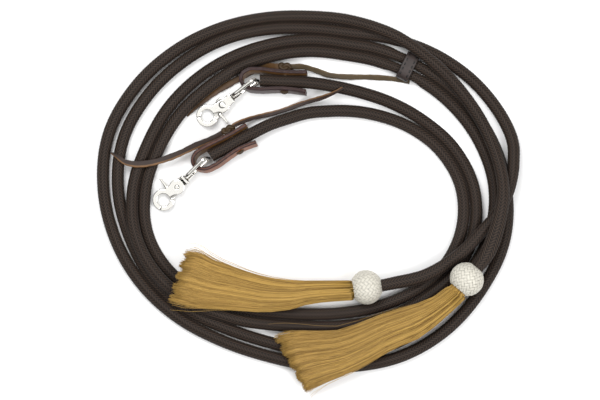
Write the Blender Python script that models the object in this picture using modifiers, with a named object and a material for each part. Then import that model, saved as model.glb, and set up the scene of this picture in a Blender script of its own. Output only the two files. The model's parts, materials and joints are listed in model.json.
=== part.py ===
"""A pair of split reins in braided rope, coiled flat.

Each rein is one rope. At the bit end a leather loop, held by a knotted leather tie, carries a swivel
trigger snap. At the hand end the rope and a horsehair tassel meet inside a braided rawhide button.
A stitched leather keeper slides on two turns of the coil. All sizes are in metres.
"""
import math

import bmesh
import bpy
from mathutils import Matrix, Vector

MM = 0.001
CLEARANCE = 0.3 * MM            # air between pieces that touch
RUNNING = 0.15 * MM             # air on the radius of a pivot or swivel

# ---- rope and coil ----
ROPE_D = 12.0 * MM
ROPE_R = ROPE_D / 2
COIL_CENTRE = Vector((-0.01003, 0.03591, 0.0))    # middle of the coil, from the middle of the fittings
STATION_STEP = 11.25            # degrees between the points of the rope's tube

# ---- bit end: leather loop and tie ----
STRAP_T = 4.2 * MM
STRAP_W = 15.0 * MM
STRAP_ROPE_GAP = 0.35 * MM
LOOP_LENGTH = 55.5 * MM         # crossbar to the ends of the two arms
LOOP_REACH = 18.0 * MM          # crossbar to the outside of the bend
LOOP_BULGE = 2.0 * MM           # how far the bend swells beyond the arms
ROPE_SETBACK = 4.2 * MM         # crossbar centre to the cut end of the rope
LOOP_DROP = 2.5 * MM            # the strap lies low in the eye
TIE_D = 5.0 * MM
KNOT = Vector((16.0, 11.0, 8.5)) * MM
TIE_BUTTON = Vector((9.5, 5.2, 8.3)) * MM
LACE_D = 4.0 * MM

# ---- snap ----
EYE_BAR_D = 4.2 * MM
EYE_INNER_HALF = 11.0 * MM      # snap's axis to the inside of the eye, at the crossbar
EYE_LENGTH = 30.0 * MM          # crossbar to the far bar, centre to centre
EYE_NEAR_BEND = 3.5 * MM
EYE_FAR_BEND = 6.0 * MM
EYE_ROLL = math.radians(8)
BARREL_D = 7.6 * MM             # sleeve on the far bar, which the snap's stud turns in
BARREL_START = 23.0 * MM
STUD_D = 4.0 * MM
STUD_HEAD_D = 6.4 * MM
STUD_HEAD_T = 1.8 * MM
HUB_T = 3.8 * MM                # thickness of the snap's shoulder
HUB_HALF = 5.6 * MM
PLATE_T = 3.2 * MM
PLATE_GAP = 0.3 * MM
RIVET_X = 46.0 * MM
RIVET_D = 3.6 * MM
RIVET_HEAD_D = 7.6 * MM
RIVET_TAIL_D = 5.0 * MM
RIVET_HEAD_T = 1.3 * MM
BODY_R = 8.6 * MM               # round part of both halves about the rivet
FLAT_Y = 5.0 * MM               # straight back of the fixed half, from the snap's axis
RING_X = 66.8 * MM
RING_INNER_R = 6.9 * MM
RING_OUTER_R = 12.3 * MM
PARTING = -28                   # degrees from the snap's axis to the line where the two jaws meet
JAW_GAP = 1.6                   # degrees of air between the jaw tips
LEVER_LENGTH = 14.5 * MM
LEVER_W = 3.4 * MM
SPRING_WIRE = 0.7 * MM
SPRING_R = 2.95 * MM
SPRING_TURNS = 2
POCKET_R = 3.7 * MM
SNAP_PITCH = math.radians(8.3)  # the snap slopes down to the ground; the eye tapers by as much
FITTING_HEIGHT = EYE_INNER_HALF + EYE_BAR_D + 0.3 * MM

# ---- hand end: button and tassel ----
BUTTON_R = 18.0 * MM
BUTTON_SHELL = 2.6 * MM
SOCKET_R = ROPE_R + 0.4 * MM
HAIR_ROOT_R = 9.0 * MM
BINDING_T = 1.3 * MM
BINDING_LENGTH = 6.0 * MM

# ---- keeper ----
KEEPER_T = 2.4 * MM
KEEPER_W = 14.0 * MM
KEEPER_SLACK = 0.45 * MM
KEEPER_ANGLE = -309.375         # middle of one straight stretch of the coil

# Route of each rope: angle about the coil's centre in degrees, running clockwise from the bit end;
# distance from that centre and height of the rope's centre line, both in millimetres.
ROUTE_1 = [
    (75, 115.3, 10.2), (60, 120.5, 7.2), (45, 131.5, 6.1),
    (30, 147, 6.1), (15, 166.4, 6.1), (0, 182.3, 6.1), (-15, 189, 6.1), (-30, 186, 6.1), (-45, 176, 6.1),
    (-60, 166, 6.1), (-75, 157, 6.1), (-90, 152.5, 6.1), (-105, 155.5, 6.5), (-120, 165.5, 9.5),
    (-135, 178.5, 15.0), (-150, 191, 17.2), (-165, 196, 16.6), (-180, 192, 9.5), (-195, 183, 6.2),
    (-210, 177, 6.1), (-225, 171, 6.1), (-240, 166.2, 6.1), (-255, 163.2, 6.1), (-270, 163.0, 6.1),
    (-285, 164.4, 6.3), (-297, 171, 8.2), (-307, 177.2, 9.3), (-315, 183, 9.3), (-328, 194.2, 7.2),
    (-345, 208.5, 6.1),
    (-360, 218, 6.1), (-375, 223.5, 6.1), (-390, 221, 6.1), (-405, 218, 6.1), (-420, 212, 6.1),
    (-435, 202.5, 6.1), (-450, 194, 6.1), (-465, 190, 6.1), (-480, 193, 6.1), (-495, 201.5, 6.1),
    (-510, 211, 6.1), (-525, 219, 6.1), (-540, 225, 6.1), (-555, 227, 6.1), (-570, 220, 6.1),
    (-585, 210.5, 6.1), (-600, 201, 6.1), (-615, 193, 6.1), (-630, 188.5, 6.1), (-645, 189.5, 9.5),
    (-652.5, 190.5, 15.5), (-660, 192, 19.2), (-667.5, 193, 19.8), (-675, 194, 19.4), (-690, 199, 18.9),
    (-705, 206.5, 20.5), (-712.5, 210.5, 25.5), (-720, 213, 30.6), (-727.5, 212, 31.8),
]
ROUTE_2 = [
    (120, 81, 10.2), (105, 79.5, 7.2), (90, 82.5, 6.1),
    (75, 87.5, 6.1), (60, 97.5, 6.1), (45, 112, 6.1), (30, 131.5, 6.1), (15, 152.3, 6.1),
    (0, 168.5, 6.1), (-15, 175, 6.1), (-30, 172.5, 6.1), (-45, 162, 6.1), (-60, 151, 6.1),
    (-75, 142.5, 6.1), (-90, 139, 6.1), (-105, 142, 6.1), (-120, 151.5, 6.1), (-135, 165, 6.1),
    (-150, 178.5, 6.1), (-165, 183.5, 6.1), (-180, 178.6, 6.1), (-195, 169.5, 6.1), (-210, 162.5, 6.1),
    (-225, 156, 6.1), (-240, 152.8, 6.1), (-255, 150.5, 6.1), (-270, 150.5, 6.1), (-285, 152, 6.3),
    (-297, 158, 8.2), (-307, 164.2, 9.3), (-315, 170, 9.3), (-328, 181.2, 7.2),
    (-345, 195.5, 6.1), (-360, 205, 6.1),
    (-375, 206, 6.1), (-390, 200, 6.1), (-405, 200, 6.1), (-420, 196, 6.1), (-435, 187, 6.1),
    (-450, 179, 6.1), (-465, 175, 6.1), (-480, 178.5, 6.1), (-495, 188.5, 6.1), (-510, 198, 6.1),
    (-525, 203.5, 6.1), (-540, 209, 6.1), (-555, 210, 6.1), (-570, 203.5, 6.1), (-585, 195.5, 6.1),
    (-600, 188, 6.1), (-615, 180.5, 6.1), (-630, 175.7, 6.1), (-645, 177, 6.1), (-660, 189, 6.1),
    (-675, 204, 6.1), (-690, 219, 6.1), (-705, 230, 9.5), (-712.5, 227.5, 14.5), (-720, 220.5, 18.7),
    (-727.5, 209.5, 19.2), (-735, 195, 19.0), (-750, 171, 18.7), (-757.5, 159, 18.3),
]


# ---------------------------------------------------------------- small tools
def at(angle, radius, height):
    """A point given about the coil's centre: degrees, millimetres, millimetres."""
    turn = math.radians(angle)
    flat = Vector((math.cos(turn), math.sin(turn), 0)) * radius * MM
    return COIL_CENTRE + flat + Vector((0, 0, height * MM))


def smooth(a, b, c, d, t):
    """Catmull-Rom value between b and c."""
    return 0.5 * (2 * b + (c - a) * t + (2 * a - 5 * b + 4 * c - d) * t ** 2
                  + (3 * b - a - 3 * c + d) * t ** 3)


def curve_through(points, per_span):
    """A smooth list of points through hand-placed points."""
    padded = [2 * points[0] - points[1], *points, 2 * points[-1] - points[-2]]
    path = []
    for i in range(1, len(padded) - 2):
        for k in range(per_span):
            path.append(smooth(*padded[i - 1:i + 3], k / per_span))
    path.append(points[-1].copy())
    return path


def frame(origin, yaw, pitch=0.0, roll=0.0):
    """Axes at a point: +X turned by yaw and tipped down by pitch, then rolled about itself."""
    turn = Matrix.Rotation(yaw, 4, "Z") @ Matrix.Rotation(pitch, 4, "Y") @ Matrix.Rotation(roll, 4, "X")
    return Matrix.Translation(origin) @ turn


def make_material(name, colour, roughness, metallic=0.0):
    material = bpy.data.materials.new(name)
    material.use_nodes = True
    shader = material.node_tree.nodes["Principled BSDF"]
    shader.inputs["Base Color"].default_value = (*colour, 1)
    shader.inputs["Roughness"].default_value = roughness
    shader.inputs["Metallic"].default_value = metallic
    material.diffuse_color = (*colour, 1)
    return material


def new_collection(name):
    collection = bpy.data.collections.new(name)
    bpy.context.scene.collection.children.link(collection)
    return collection


def add_mesh(name, build, material, place, hidden=False):
    """An object whose mesh is drawn by build(bm), put at a frame."""
    mesh = bpy.data.meshes.new(name)
    bm = bmesh.new()
    build(bm)
    bmesh.ops.recalc_face_normals(bm, faces=bm.faces)
    bm.to_mesh(mesh)
    bm.free()
    if material:
        mesh.materials.append(material)
    obj = bpy.data.objects.new(name, mesh)
    obj.matrix_world = place
    (CUTTERS if hidden else PARTS).objects.link(obj)
    if hidden:
        obj.hide_render = True
        obj.display_type = "WIRE"
    return obj


def add_tube(name, points, radius, material, sides=2):
    """A round tube along a list of points, with filled ends."""
    data = bpy.data.curves.new(name, "CURVE")
    data.dimensions = "3D"
    data.bevel_depth = radius
    data.bevel_resolution = sides
    data.render_resolution_u = 0
    data.use_fill_caps = True
    spline = data.splines.new("POLY")
    spline.points.add(len(points) - 1)
    for knot, place in zip(spline.points, points):
        knot.co = (*place, 1)
    data.materials.append(material)
    obj = bpy.data.objects.new(name, data)
    PARTS.objects.link(obj)
    return obj


def as_mesh(obj):
    """Turn a curve object into a welded mesh object that can be cut."""
    evaluated = obj.evaluated_get(bpy.context.evaluated_depsgraph_get())
    mesh = bpy.data.meshes.new_from_object(evaluated)
    bm = bmesh.new()
    bm.from_mesh(mesh)
    bmesh.ops.remove_doubles(bm, verts=bm.verts, dist=0.01 * MM)
    bmesh.ops.recalc_face_normals(bm, faces=bm.faces)
    bm.to_mesh(mesh)
    bm.free()
    name = obj.name
    place = obj.matrix_world.copy()
    bpy.data.objects.remove(obj)
    solid = bpy.data.objects.new(name, mesh)
    solid.matrix_world = place
    PARTS.objects.link(solid)
    return solid


def combine(obj, other, operation):
    """One Boolean step on an object."""
    step = obj.modifiers.new(f"{operation.lower()} {other.name}", "BOOLEAN")
    step.operation = operation
    step.solver = "EXACT"
    step.object = other


def cylinder(bm, radius, start, end, sides=24):
    """A closed cylinder between two points of the frame."""
    axis = end - start
    turn = Vector((0, 0, 1)).rotation_difference(axis).to_matrix().to_4x4()
    place = Matrix.Translation((start + end) / 2) @ turn
    bmesh.ops.create_cone(bm, cap_ends=True, segments=sides, radius1=radius, radius2=radius,
                          depth=axis.length, matrix=place)


def box(bm, low, high):
    """A closed box between two corners of the frame."""
    size = Vector(high) - Vector(low)
    middle = (Vector(high) + Vector(low)) / 2
    place = Matrix.Translation(middle) @ Matrix.Diagonal((*size, 1))
    bmesh.ops.create_cube(bm, size=1, matrix=place)


def ball(bm, centre, size, across=16, rings=8):
    """A closed ellipsoid of a given size, its seams turned away from the frame's planes."""
    seam = Matrix.Rotation(math.radians(7), 4, "Z") @ Matrix.Rotation(math.radians(5), 4, "X")
    place = Matrix.Translation(centre) @ Matrix.Diagonal((*(Vector(size) / 2), 1)) @ seam
    bmesh.ops.create_uvsphere(bm, u_segments=across, v_segments=rings, radius=1, matrix=place)


def extrude_outline(bm, outline, low, high):
    """A plate between two heights from a closed outline of (x, y)."""
    face = bm.faces.new([bm.verts.new((x, y, low)) for x, y in outline])
    raised = bmesh.ops.extrude_face_region(bm, geom=[face])
    lifted = [item for item in raised["geom"] if isinstance(item, bmesh.types.BMVert)]
    bmesh.ops.translate(bm, verts=lifted, vec=(0, 0, high - low))


def turned(name, profile, material, place, steps=24):
    """A turned piece: a profile of (radius, along) swept about the frame's +X.

    The profile is closed unless it starts on the axis.
    """
    closed = profile[0][0] > 0
    ahead = profile[1:] + profile[:1]
    area = sum(r1 * a2 - r2 * a1 for (r1, a1), (r2, a2) in zip(profile, ahead))

    def draw(bm):
        ring = [bm.verts.new((along, radius, 0)) for radius, along in profile]
        for a, b in zip(ring, ring[1:] + ring[:1] if closed else ring[1:]):
            bm.edges.new((a, b))
    obj = add_mesh(name, draw, material, place)
    screw = obj.modifiers.new("turn", "SCREW")
    screw.axis = "X"
    screw.steps = steps
    screw.render_steps = steps
    screw.use_merge_vertices = True
    screw.merge_threshold = 0.01 * MM
    screw.use_normal_flip = area > 0
    return obj


def loft(bm, sections, around=14):
    """Skin over a row of sections: (left point, right point, half thickness)."""
    rings = []
    for left, right, half in sections:
        middle = (left + right) / 2
        reach = (right - left) / 2
        ring = []
        for k in range(around):
            turn = 2 * math.pi * k / around
            place = middle + reach * math.cos(turn) + Vector((0, 0, half * math.sin(turn)))
            ring.append(bm.verts.new(place))
        rings.append(ring)
    for near, far in zip(rings, rings[1:]):
        for k in range(around):
            following = (k + 1) % around
            bm.faces.new((near[k], near[following], far[following], far[k]))
    bm.faces.new(rings[0])
    bm.faces.new(rings[-1])


def arc(centre, radius, start, end, count):
    """Points of an arc in the plane, both ends included."""
    turns = [start + (end - start) * k / (count - 1) for k in range(count)]
    return [(centre[0] + radius * math.cos(t), centre[1] + radius * math.sin(t)) for t in turns]


# ---------------------------------------------------------------- where each end lies
BIT_ENDS = {
    1: {"crossbar": at(115.75, 131.2, FITTING_HEIGHT / MM), "loop": math.radians(-2.5), "tie": 31.5 * MM,
        "snap": math.radians(215.9), "flip": False},
    2: {"crossbar": at(163.6, 115.3, FITTING_HEIGHT / MM), "loop": math.radians(29), "tie": 35.3 * MM,
        "snap": math.radians(223.5), "flip": True},
}
HAND_ENDS = {
    1: {"centre": at(-749.9, 199.8, 30.5), "yaw": math.radians(230)},
    2: {"centre": at(-779.6, 126.2, 18.3), "yaw": math.radians(188.7)},
}


def loop_frame(number):
    end = BIT_ENDS[number]
    return frame(end["crossbar"] - Vector((0, 0, LOOP_DROP)), end["loop"])


def rope_path(number):
    """Points of one rope's tube: the smooth route read at the same angles on every turn."""
    route = ROUTE_1 if number == 1 else ROUTE_2
    place = loop_frame(number)
    hand = HAND_ENDS[number]
    arrive = Vector((math.cos(hand["yaw"]), math.sin(hand["yaw"]), 0))
    in_loop = [place @ Vector((along, 0, 0)) for along in (ROPE_SETBACK, LOOP_LENGTH / 2, LOOP_LENGTH)]
    inside = hand["centre"] - arrive * MM
    outside = hand["centre"] - arrive * (BUTTON_R + ROPE_D)
    stations = [*[polar(point, 180) for point in in_loop], *[Vector(s) for s in route],
                polar(outside, route[-1][0]), polar(inside, route[-1][0])]
    dense = curve_through(stations, 12)
    path = [in_loop[0]]
    angle = STATION_STEP * math.floor(dense[0].x / STATION_STEP - 0.25)
    while angle > dense[-1].x + STATION_STEP * 0.4:
        path.append(at(*read(dense, angle)))
        angle -= STATION_STEP
    path.append(inside)
    return path


def polar(point, before):
    """Angle, distance in millimetres and height in millimetres, with the angle just below another."""
    local = point - COIL_CENTRE
    angle = math.degrees(math.atan2(local.y, local.x))
    while angle > before:
        angle -= 360
    while angle < before - 360:
        angle += 360
    return Vector((angle, math.hypot(local.x, local.y) / MM, local.z / MM))


def read(dense, angle):
    """The route's point at an angle."""
    for a, b in zip(dense, dense[1:]):
        if a.x >= angle >= b.x:
            return a.lerp(b, (a.x - angle) / (a.x - b.x))
    return dense[-1]


# ---------------------------------------------------------------- pieces of the bit end
def tie_hole(name, number, place):
    """Cutter for the hole that the tie passes through, across the strap and the rope."""
    across = Vector((0, 2 * ROPE_D, 0))
    middle = Vector((BIT_ENDS[number]["tie"], 0, 0))

    def drill(bm):
        cylinder(bm, TIE_D / 2 + CLEARANCE, middle - across, middle + across, 12)
    return add_mesh(name, drill, None, place, hidden=True)


def rope(number):
    tube = as_mesh(add_tube(f"rein_rope_{number}", rope_path(number), ROPE_R, ROPE, sides=3))
    place = loop_frame(number)
    combine(tube, tie_hole(f"rope_hole_{number}", number, place), "DIFFERENCE")
    return tube


def loop_half():
    """Centre line of one half of the strap, from the end of its arm to the tip of the bend."""
    arm = ROPE_R + STRAP_ROPE_GAP + STRAP_T / 2
    tip = LOOP_REACH - STRAP_T / 2
    return [Vector((LOOP_LENGTH, arm, 0)), Vector((LOOP_LENGTH * 0.75, arm, 0)),
            Vector((LOOP_LENGTH * 0.5, arm, 0)), Vector((LOOP_LENGTH * 0.25, arm + LOOP_BULGE * 0.25, 0)),
            Vector((0.0, arm + LOOP_BULGE * 0.85, 0)), Vector((-tip * 0.35, arm + LOOP_BULGE * 0.8, 0)),
            Vector((-tip * 0.75, arm * 0.78, 0)), Vector((-tip * 0.96, arm * 0.36, 0)),
            Vector((-tip, 0, 0))]


def leather_loop(number):
    place = loop_frame(number)
    half = loop_half()
    whole = half + [Vector((p.x, -p.y, 0)) for p in reversed(half[:-1])]
    line = curve_through(whole, 3)

    def strip(bm):
        low = [bm.verts.new((p.x, p.y, -STRAP_W / 2)) for p in line]
        high = [bm.verts.new((p.x, p.y, STRAP_W / 2)) for p in line]
        for i in range(len(line) - 1):
            bm.faces.new((low[i], low[i + 1], high[i + 1], high[i]))
    strap = add_mesh(f"leather_loop_{number}", strip, LEATHER, place)
    wall = strap.modifiers.new("thickness", "SOLIDIFY")
    wall.thickness = STRAP_T
    wall.offset = 0
    combine(strap, tie_hole(f"loop_holes_{number}", number, place), "DIFFERENCE")
    return strap


def leather_tie(number):
    """The tie: a shank through strap and rope, a knot outside one arm and a bight outside the other."""
    end = BIT_ENDS[number]
    place = loop_frame(number)
    outside = ROPE_R + STRAP_ROPE_GAP + STRAP_T + CLEARANCE
    far = Vector((end["tie"], outside + KNOT.y / 2, 0))
    near = Vector((end["tie"], -outside - TIE_BUTTON.y / 2, 0))
    tie = add_mesh(f"leather_tie_{number}", lambda bm: cylinder(bm, TIE_D / 2, near, far, 14), LACE, place)
    knot = add_mesh(f"tie_knot_{number}", lambda bm: ball(bm, far, KNOT), LACE, place, hidden=True)
    bight = add_mesh(f"tie_bight_{number}", lambda bm: ball(bm, near, TIE_BUTTON, 12, 6), LACE, place,
                     hidden=True)
    combine(tie, knot, "UNION")
    combine(tie, bight, "UNION")
    return tie


# Laces: points about the coil's centre in millimetres (x, y, height)
LACES = {
    "tie_lace_left_1": [(-34.6, 133.2, 12.0), (-41, 133.8, 8.6), (-48, 133.2, 4.6), (-55, 131.0, 2.3),
                        (-63, 127.0, 2.2), (-72, 122.2, 2.2), (-82, 116.6, 2.2), (-93, 110.3, 2.2),
                        (-104, 103.8, 2.2), (-115, 96.2, 2.2), (-125, 87.8, 2.2), (-132, 79.4, 2.2)],
    "tie_lace_right_1": [(-16.9, 133.0, 12.0), (-8, 133.4, 9.6), (0, 132.0, 6.2), (11, 128.6, 2.8),
                         (24, 124.2, 2.2), (43, 122.4, 2.2), (63, 122.4, 2.2), (80, 121.8, 2.2),
                         (93, 120.6, 2.2), (99, 119.8, 2.2)],
    "tie_lace_left_2": [(-97.2, 57.6, 13.5), (-106, 53.4, 14.5), (-123, 46.4, 14.5), (-141, 37.8, 14.0),
                        (-158, 31.3, 14.8), (-173, 27.4, 15.6), (-188, 26.0, 16.2), (-200, 28.2, 15.6),
                        (-208, 33.4, 14.8), (-216, 38.8, 14.6)],
    "tie_lace_right_2": [(-79.6, 69.6, 12.5), (-72, 73.0, 10.6), (-62, 76.6, 6.5), (-50, 79.6, 3.0),
                         (-36, 83.0, 2.2), (-22, 87.4, 2.2), (-9, 92.3, 3.2), (3, 95.8, 5.8),
                         (14, 98.8, 9.5), (23, 102.0, 13.8), (31, 105.6, 17.2), (38, 109.6, 18.4)],
}


def lace(name, route):
    points = [COIL_CENTRE + Vector(p) * MM for p in route]
    return add_tube(name, curve_through(points, 2), LACE_D / 2, LACE, sides=2)


# ---------------------------------------------------------------- pieces of the snap
def snap_frames(number):
    """Frames of the eye and of the snap; the snap may lie on either face."""
    end = BIT_ENDS[number]
    roll = math.pi if end["flip"] else 0.0
    eye = frame(end["crossbar"], end["snap"], SNAP_PITCH, EYE_ROLL)
    snap = frame(end["crossbar"], end["snap"], SNAP_PITCH, roll)
    return eye, snap


def hub_start():
    """Where the snap's shoulder begins, clear of the eye's far bar."""
    return EYE_LENGTH + EYE_BAR_D / 2 + CLEARANCE


def eye_quarter():
    """Centre line of one half of the eye, from the crossbar to the far bar, in the frame's XZ plane."""
    half = EYE_INNER_HALF + EYE_BAR_D / 2
    lean = math.radians(90) - SNAP_PITCH
    near = Vector((EYE_NEAR_BEND, half - EYE_NEAR_BEND))
    side = Vector((math.sin(lean), -math.cos(lean)))
    far = near + (EYE_NEAR_BEND - EYE_FAR_BEND) * Vector((math.cos(lean), math.sin(lean)))
    far += side * (EYE_LENGTH - EYE_FAR_BEND - far.x) / side.x
    turns = arc(near, EYE_NEAR_BEND, math.radians(180), lean, 5) + arc(far, EYE_FAR_BEND, lean, 0, 6)
    return [Vector((x, 0, z)) for x, z in turns]


def swivel_eye(number, place):
    """A tapered eye bent from round bar, with a sleeve on its far bar for the snap's stud."""
    quarter = eye_quarter()
    ring = quarter + [Vector((p.x, 0, -p.z)) for p in reversed(quarter)]
    tube = add_tube(f"swivel_eye_{number}", ring, EYE_BAR_D / 2, NICKEL, sides=3)
    tube.data.splines[0].use_cyclic_u = True
    tube.matrix_world = place
    bpy.context.view_layer.update()
    eye = as_mesh(tube)
    start = Vector((BARREL_START, 0, 0))
    finish = Vector((EYE_LENGTH + EYE_BAR_D / 2, 0, 0))
    sleeve = add_mesh(f"eye_sleeve_{number}", lambda bm: cylinder(bm, BARREL_D / 2, start, finish, 20),
                      NICKEL, place, hidden=True)
    past = Vector((2 * MM, 0, 0))
    bore = add_mesh(f"eye_bore_{number}",
                    lambda bm: cylinder(bm, STUD_D / 2 + RUNNING, start - past, finish + past, 20),
                    None, place, hidden=True)
    combine(eye, sleeve, "UNION")
    combine(eye, bore, "DIFFERENCE")
    return eye


def ring_band(start, end, count):
    """Closed outline of a stretch of the ring."""
    outer = arc((RING_X, 0), RING_OUTER_R, math.radians(start), math.radians(end), count)
    inner = arc((RING_X, 0), RING_INNER_R, math.radians(end), math.radians(start), count)
    return outer + inner


def rivet_arc(radius, start, end, count):
    return arc((RIVET_X, 0), radius, math.radians(start), math.radians(end), count)


def fixed_jaw(number, place):
    """The half with the swivel stud, one plate about the rivet, and the jaw away from the lever."""
    top = PLATE_GAP / 2 + PLATE_T
    low = PLATE_GAP / 2
    shoulder = hub_start() + HUB_T
    head = BARREL_START - CLEARANCE

    def plate(bm):
        outline = ([(shoulder - 0.5 * MM, HUB_HALF), (shoulder - 0.5 * MM, -FLAT_Y)]
                   + arc((RING_X, 0), RING_OUTER_R, math.radians(212), math.radians(250), 5)
                   + arc((RING_X, 0), RING_INNER_R, math.radians(250), math.radians(165), 9)
                   + rivet_arc(BODY_R, 30, 130, 9))
        extrude_outline(bm, outline, low, top)

    def jaw(bm):
        extrude_outline(bm, ring_band(222, 360 + PARTING, 12), -top, top)

    def hub(bm):
        box(bm, (hub_start(), -HUB_HALF, -top), (shoulder, HUB_HALF, top))

    def stud(bm):
        cylinder(bm, STUD_D / 2, Vector((head - STUD_HEAD_T / 2, 0, 0)), Vector((shoulder - MM, 0, 0)), 20)

    def stud_head(bm):
        cylinder(bm, STUD_HEAD_D / 2, Vector((head - STUD_HEAD_T, 0, 0)), Vector((head, 0, 0)), 20)

    def rivet_bore(bm):
        deep = Vector((RIVET_X, 0, -2 * top))
        high = Vector((RIVET_X, 0, 2 * top))
        cylinder(bm, RIVET_D / 2 + RUNNING, deep, high, 20)
    body = add_mesh(f"snap_body_{number}", plate, NICKEL, place)
    for draw in (jaw, hub, stud, stud_head):
        combine(body, add_mesh(f"body_{draw.__name__}_{number}", draw, NICKEL, place, hidden=True), "UNION")
    combine(body, add_mesh(f"body_rivet_bore_{number}", rivet_bore, None, place, hidden=True), "DIFFERENCE")
    return body


def trigger_jaw(number, place):
    """The sprung half: the other plate, the jaw on the lever's side, and the thumb lever."""
    top = PLATE_GAP / 2 + PLATE_T
    low = PLATE_GAP / 2

    def plate(bm):
        outline = (rivet_arc(BODY_R, 62, 328, 19)
                   + arc((RING_X, 0), RING_INNER_R, math.radians(200), math.radians(110), 9)
                   + arc((RING_X, 0), RING_OUTER_R, math.radians(110), math.radians(142), 4))
        extrude_outline(bm, outline, -top, -low)

    def jaw(bm):
        extrude_outline(bm, ring_band(PARTING + JAW_GAP, 126, 16), -top, top)

    def lever(bm):
        start = Vector((RING_X - 12.0 * MM, 5.6 * MM, 0))
        end = start + Vector((-0.12, 1.0, 0)).normalized() * LEVER_LENGTH
        side = Vector((1.0, 0.12, 0)).normalized() * LEVER_W / 2
        corners = [start - side, start + side, end + side * 0.8, end - side * 0.8]
        extrude_outline(bm, [(p.x, p.y) for p in corners], -top + 0.4 * MM, 0.8 * MM)

    def rivet_bore(bm):
        deep = Vector((RIVET_X, 0, -2 * top))
        high = Vector((RIVET_X, 0, 2 * top))
        cylinder(bm, RIVET_D / 2 + RUNNING, deep, high, 20)

    def pocket(bm):
        depth = SPRING_WIRE * (SPRING_TURNS + 1) + 0.2 * MM
        cylinder(bm, POCKET_R, Vector((RIVET_X, 0, -low - depth)), Vector((RIVET_X, 0, top)), 24)
    trigger = add_mesh(f"trigger_jaw_{number}", plate, NICKEL, place)
    for draw in (jaw, lever):
        added = add_mesh(f"trigger_{draw.__name__}_{number}", draw, NICKEL, place, hidden=True)
        combine(trigger, added, "UNION")
    for draw in (rivet_bore, pocket):
        combine(trigger, add_mesh(f"trigger_{draw.__name__}_{number}", draw, NICKEL, place, hidden=True),
                "DIFFERENCE")
    return trigger


def pivot_rivet(number, place):
    """A rivet with a round head on the body's side and a small set end on the other."""
    face = PLATE_GAP / 2 + PLATE_T + 0.05 * MM
    head = RIVET_HEAD_T
    profile = [(0, face + head), (RIVET_HEAD_D * 0.3, face + head * 0.85),
               (RIVET_HEAD_D / 2, face + head * 0.3), (RIVET_HEAD_D / 2, face),
               (RIVET_D / 2, face), (RIVET_D / 2, -face), (RIVET_TAIL_D / 2, -face),
               (RIVET_TAIL_D * 0.42, -face - head * 0.5), (0, -face - head * 0.6)]
    upright = place @ Matrix.Translation((RIVET_X, 0, 0)) @ Matrix.Rotation(math.radians(-90), 4, "Y")
    return turned(f"pivot_rivet_{number}", profile, NICKEL, upright, steps=20)


def trigger_spring(number, place):
    """A short torsion coil round the rivet, in the pocket of the moving plate."""
    per_turn = 12
    rise = SPRING_WIRE + 0.1 * MM
    low = PLATE_GAP / 2 + SPRING_WIRE / 2
    points = []
    for k in range(SPRING_TURNS * per_turn + 1):
        turn = 2 * math.pi * k / per_turn
        height = -low - rise * k / per_turn
        flat = (RIVET_X + SPRING_R * math.cos(turn), SPRING_R * math.sin(turn))
        points.append(place @ Vector((*flat, height)))
    return add_tube(f"trigger_spring_{number}", points, SPRING_WIRE / 2, STEEL, sides=2)


# ---------------------------------------------------------------- pieces of the hand end
def button_pieces(number):
    hand = HAND_ENDS[number]
    place = frame(hand["centre"], hand["yaw"])
    core_r = BUTTON_R - BUTTON_SHELL - CLEARANCE
    bind_r = HAIR_ROOT_R + CLEARANCE + BINDING_T
    bore = bind_r + CLEARANCE

    def ball_arc(radius, entry, leave, count):
        start = math.asin(entry / radius)
        stop = math.pi - math.asin(leave / radius)
        turns = [start + (stop - start) * k / (count - 1) for k in range(count)]
        return [(radius * math.sin(t), -radius * math.cos(t)) for t in turns]
    core = (ball_arc(core_r, SOCKET_R, bore, 11)
            + [(bore, 1.5 * MM), (SOCKET_R, 1.5 * MM)])
    turned(f"button_core_{number}", core, CORE, place)
    inner = ball_arc(core_r + CLEARANCE, SOCKET_R, bore, 11)
    braid = ball_arc(BUTTON_R, SOCKET_R, bore, 13) + list(reversed(inner))
    turned(f"button_braid_{number}", braid, RAWHIDE, place)
    start = 2.2 * MM
    end = start + BINDING_LENGTH
    inside = HAIR_ROOT_R + CLEARANCE
    ring = [(bind_r, start), (bind_r, end), (inside, end), (inside, start)]
    turned(f"tassel_binding_{number}", ring, THREAD, place, steps=20)


# Outline of each tassel: both sides of the hair in millimetres about the coil's centre, the height of its
# middle and half its thickness, from the button to the cut ends.
TASSELS = {
    1: [(151.0, -108.5, 171.0, -121.5, 28.5, 9.5), (131.0, -122.5, 149.0, -142.0, 26.0, 9.0),
        (101.5, -131.5, 123.5, -163.0, 23.5, 9.0), (77.0, -139.5, 92.5, -176.0, 21.0, 8.0),
        (56.5, -148.5, 66.0, -191.5, 20.0, 7.2), (29.5, -157.5, 40.5, -204.0, 19.3, 6.5),
        (2.0, -158.0, 20.0, -211.5, 18.8, 6.0), (-20.0, -159.5, 4.5, -218.0, 18.5, 5.5),
        (-32.0, -163.5, -2.0, -221.0, 18.3, 5.0)],
    2: [(45.5, -101.5, 47.5, -123.0, 18.3, 9.3), (5.5, -102.0, 5.5, -126.0, 17.5, 8.8),
        (-15.5, -102.0, -17.5, -132.5, 18.5, 8.0), (-44.0, -98.0, -46.0, -135.5, 20.0, 7.0),
        (-65.0, -92.5, -69.5, -134.0, 21.0, 6.5), (-84.5, -86.0, -90.0, -132.0, 22.5, 6.3),
        (-103.5, -79.5, -113.5, -130.5, 26.0, 6.0), (-119.0, -71.5, -132.0, -127.5, 29.0, 5.5),
        (-131.0, -70.5, -146.0, -123.5, 29.6, 5.0)],
}


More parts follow.
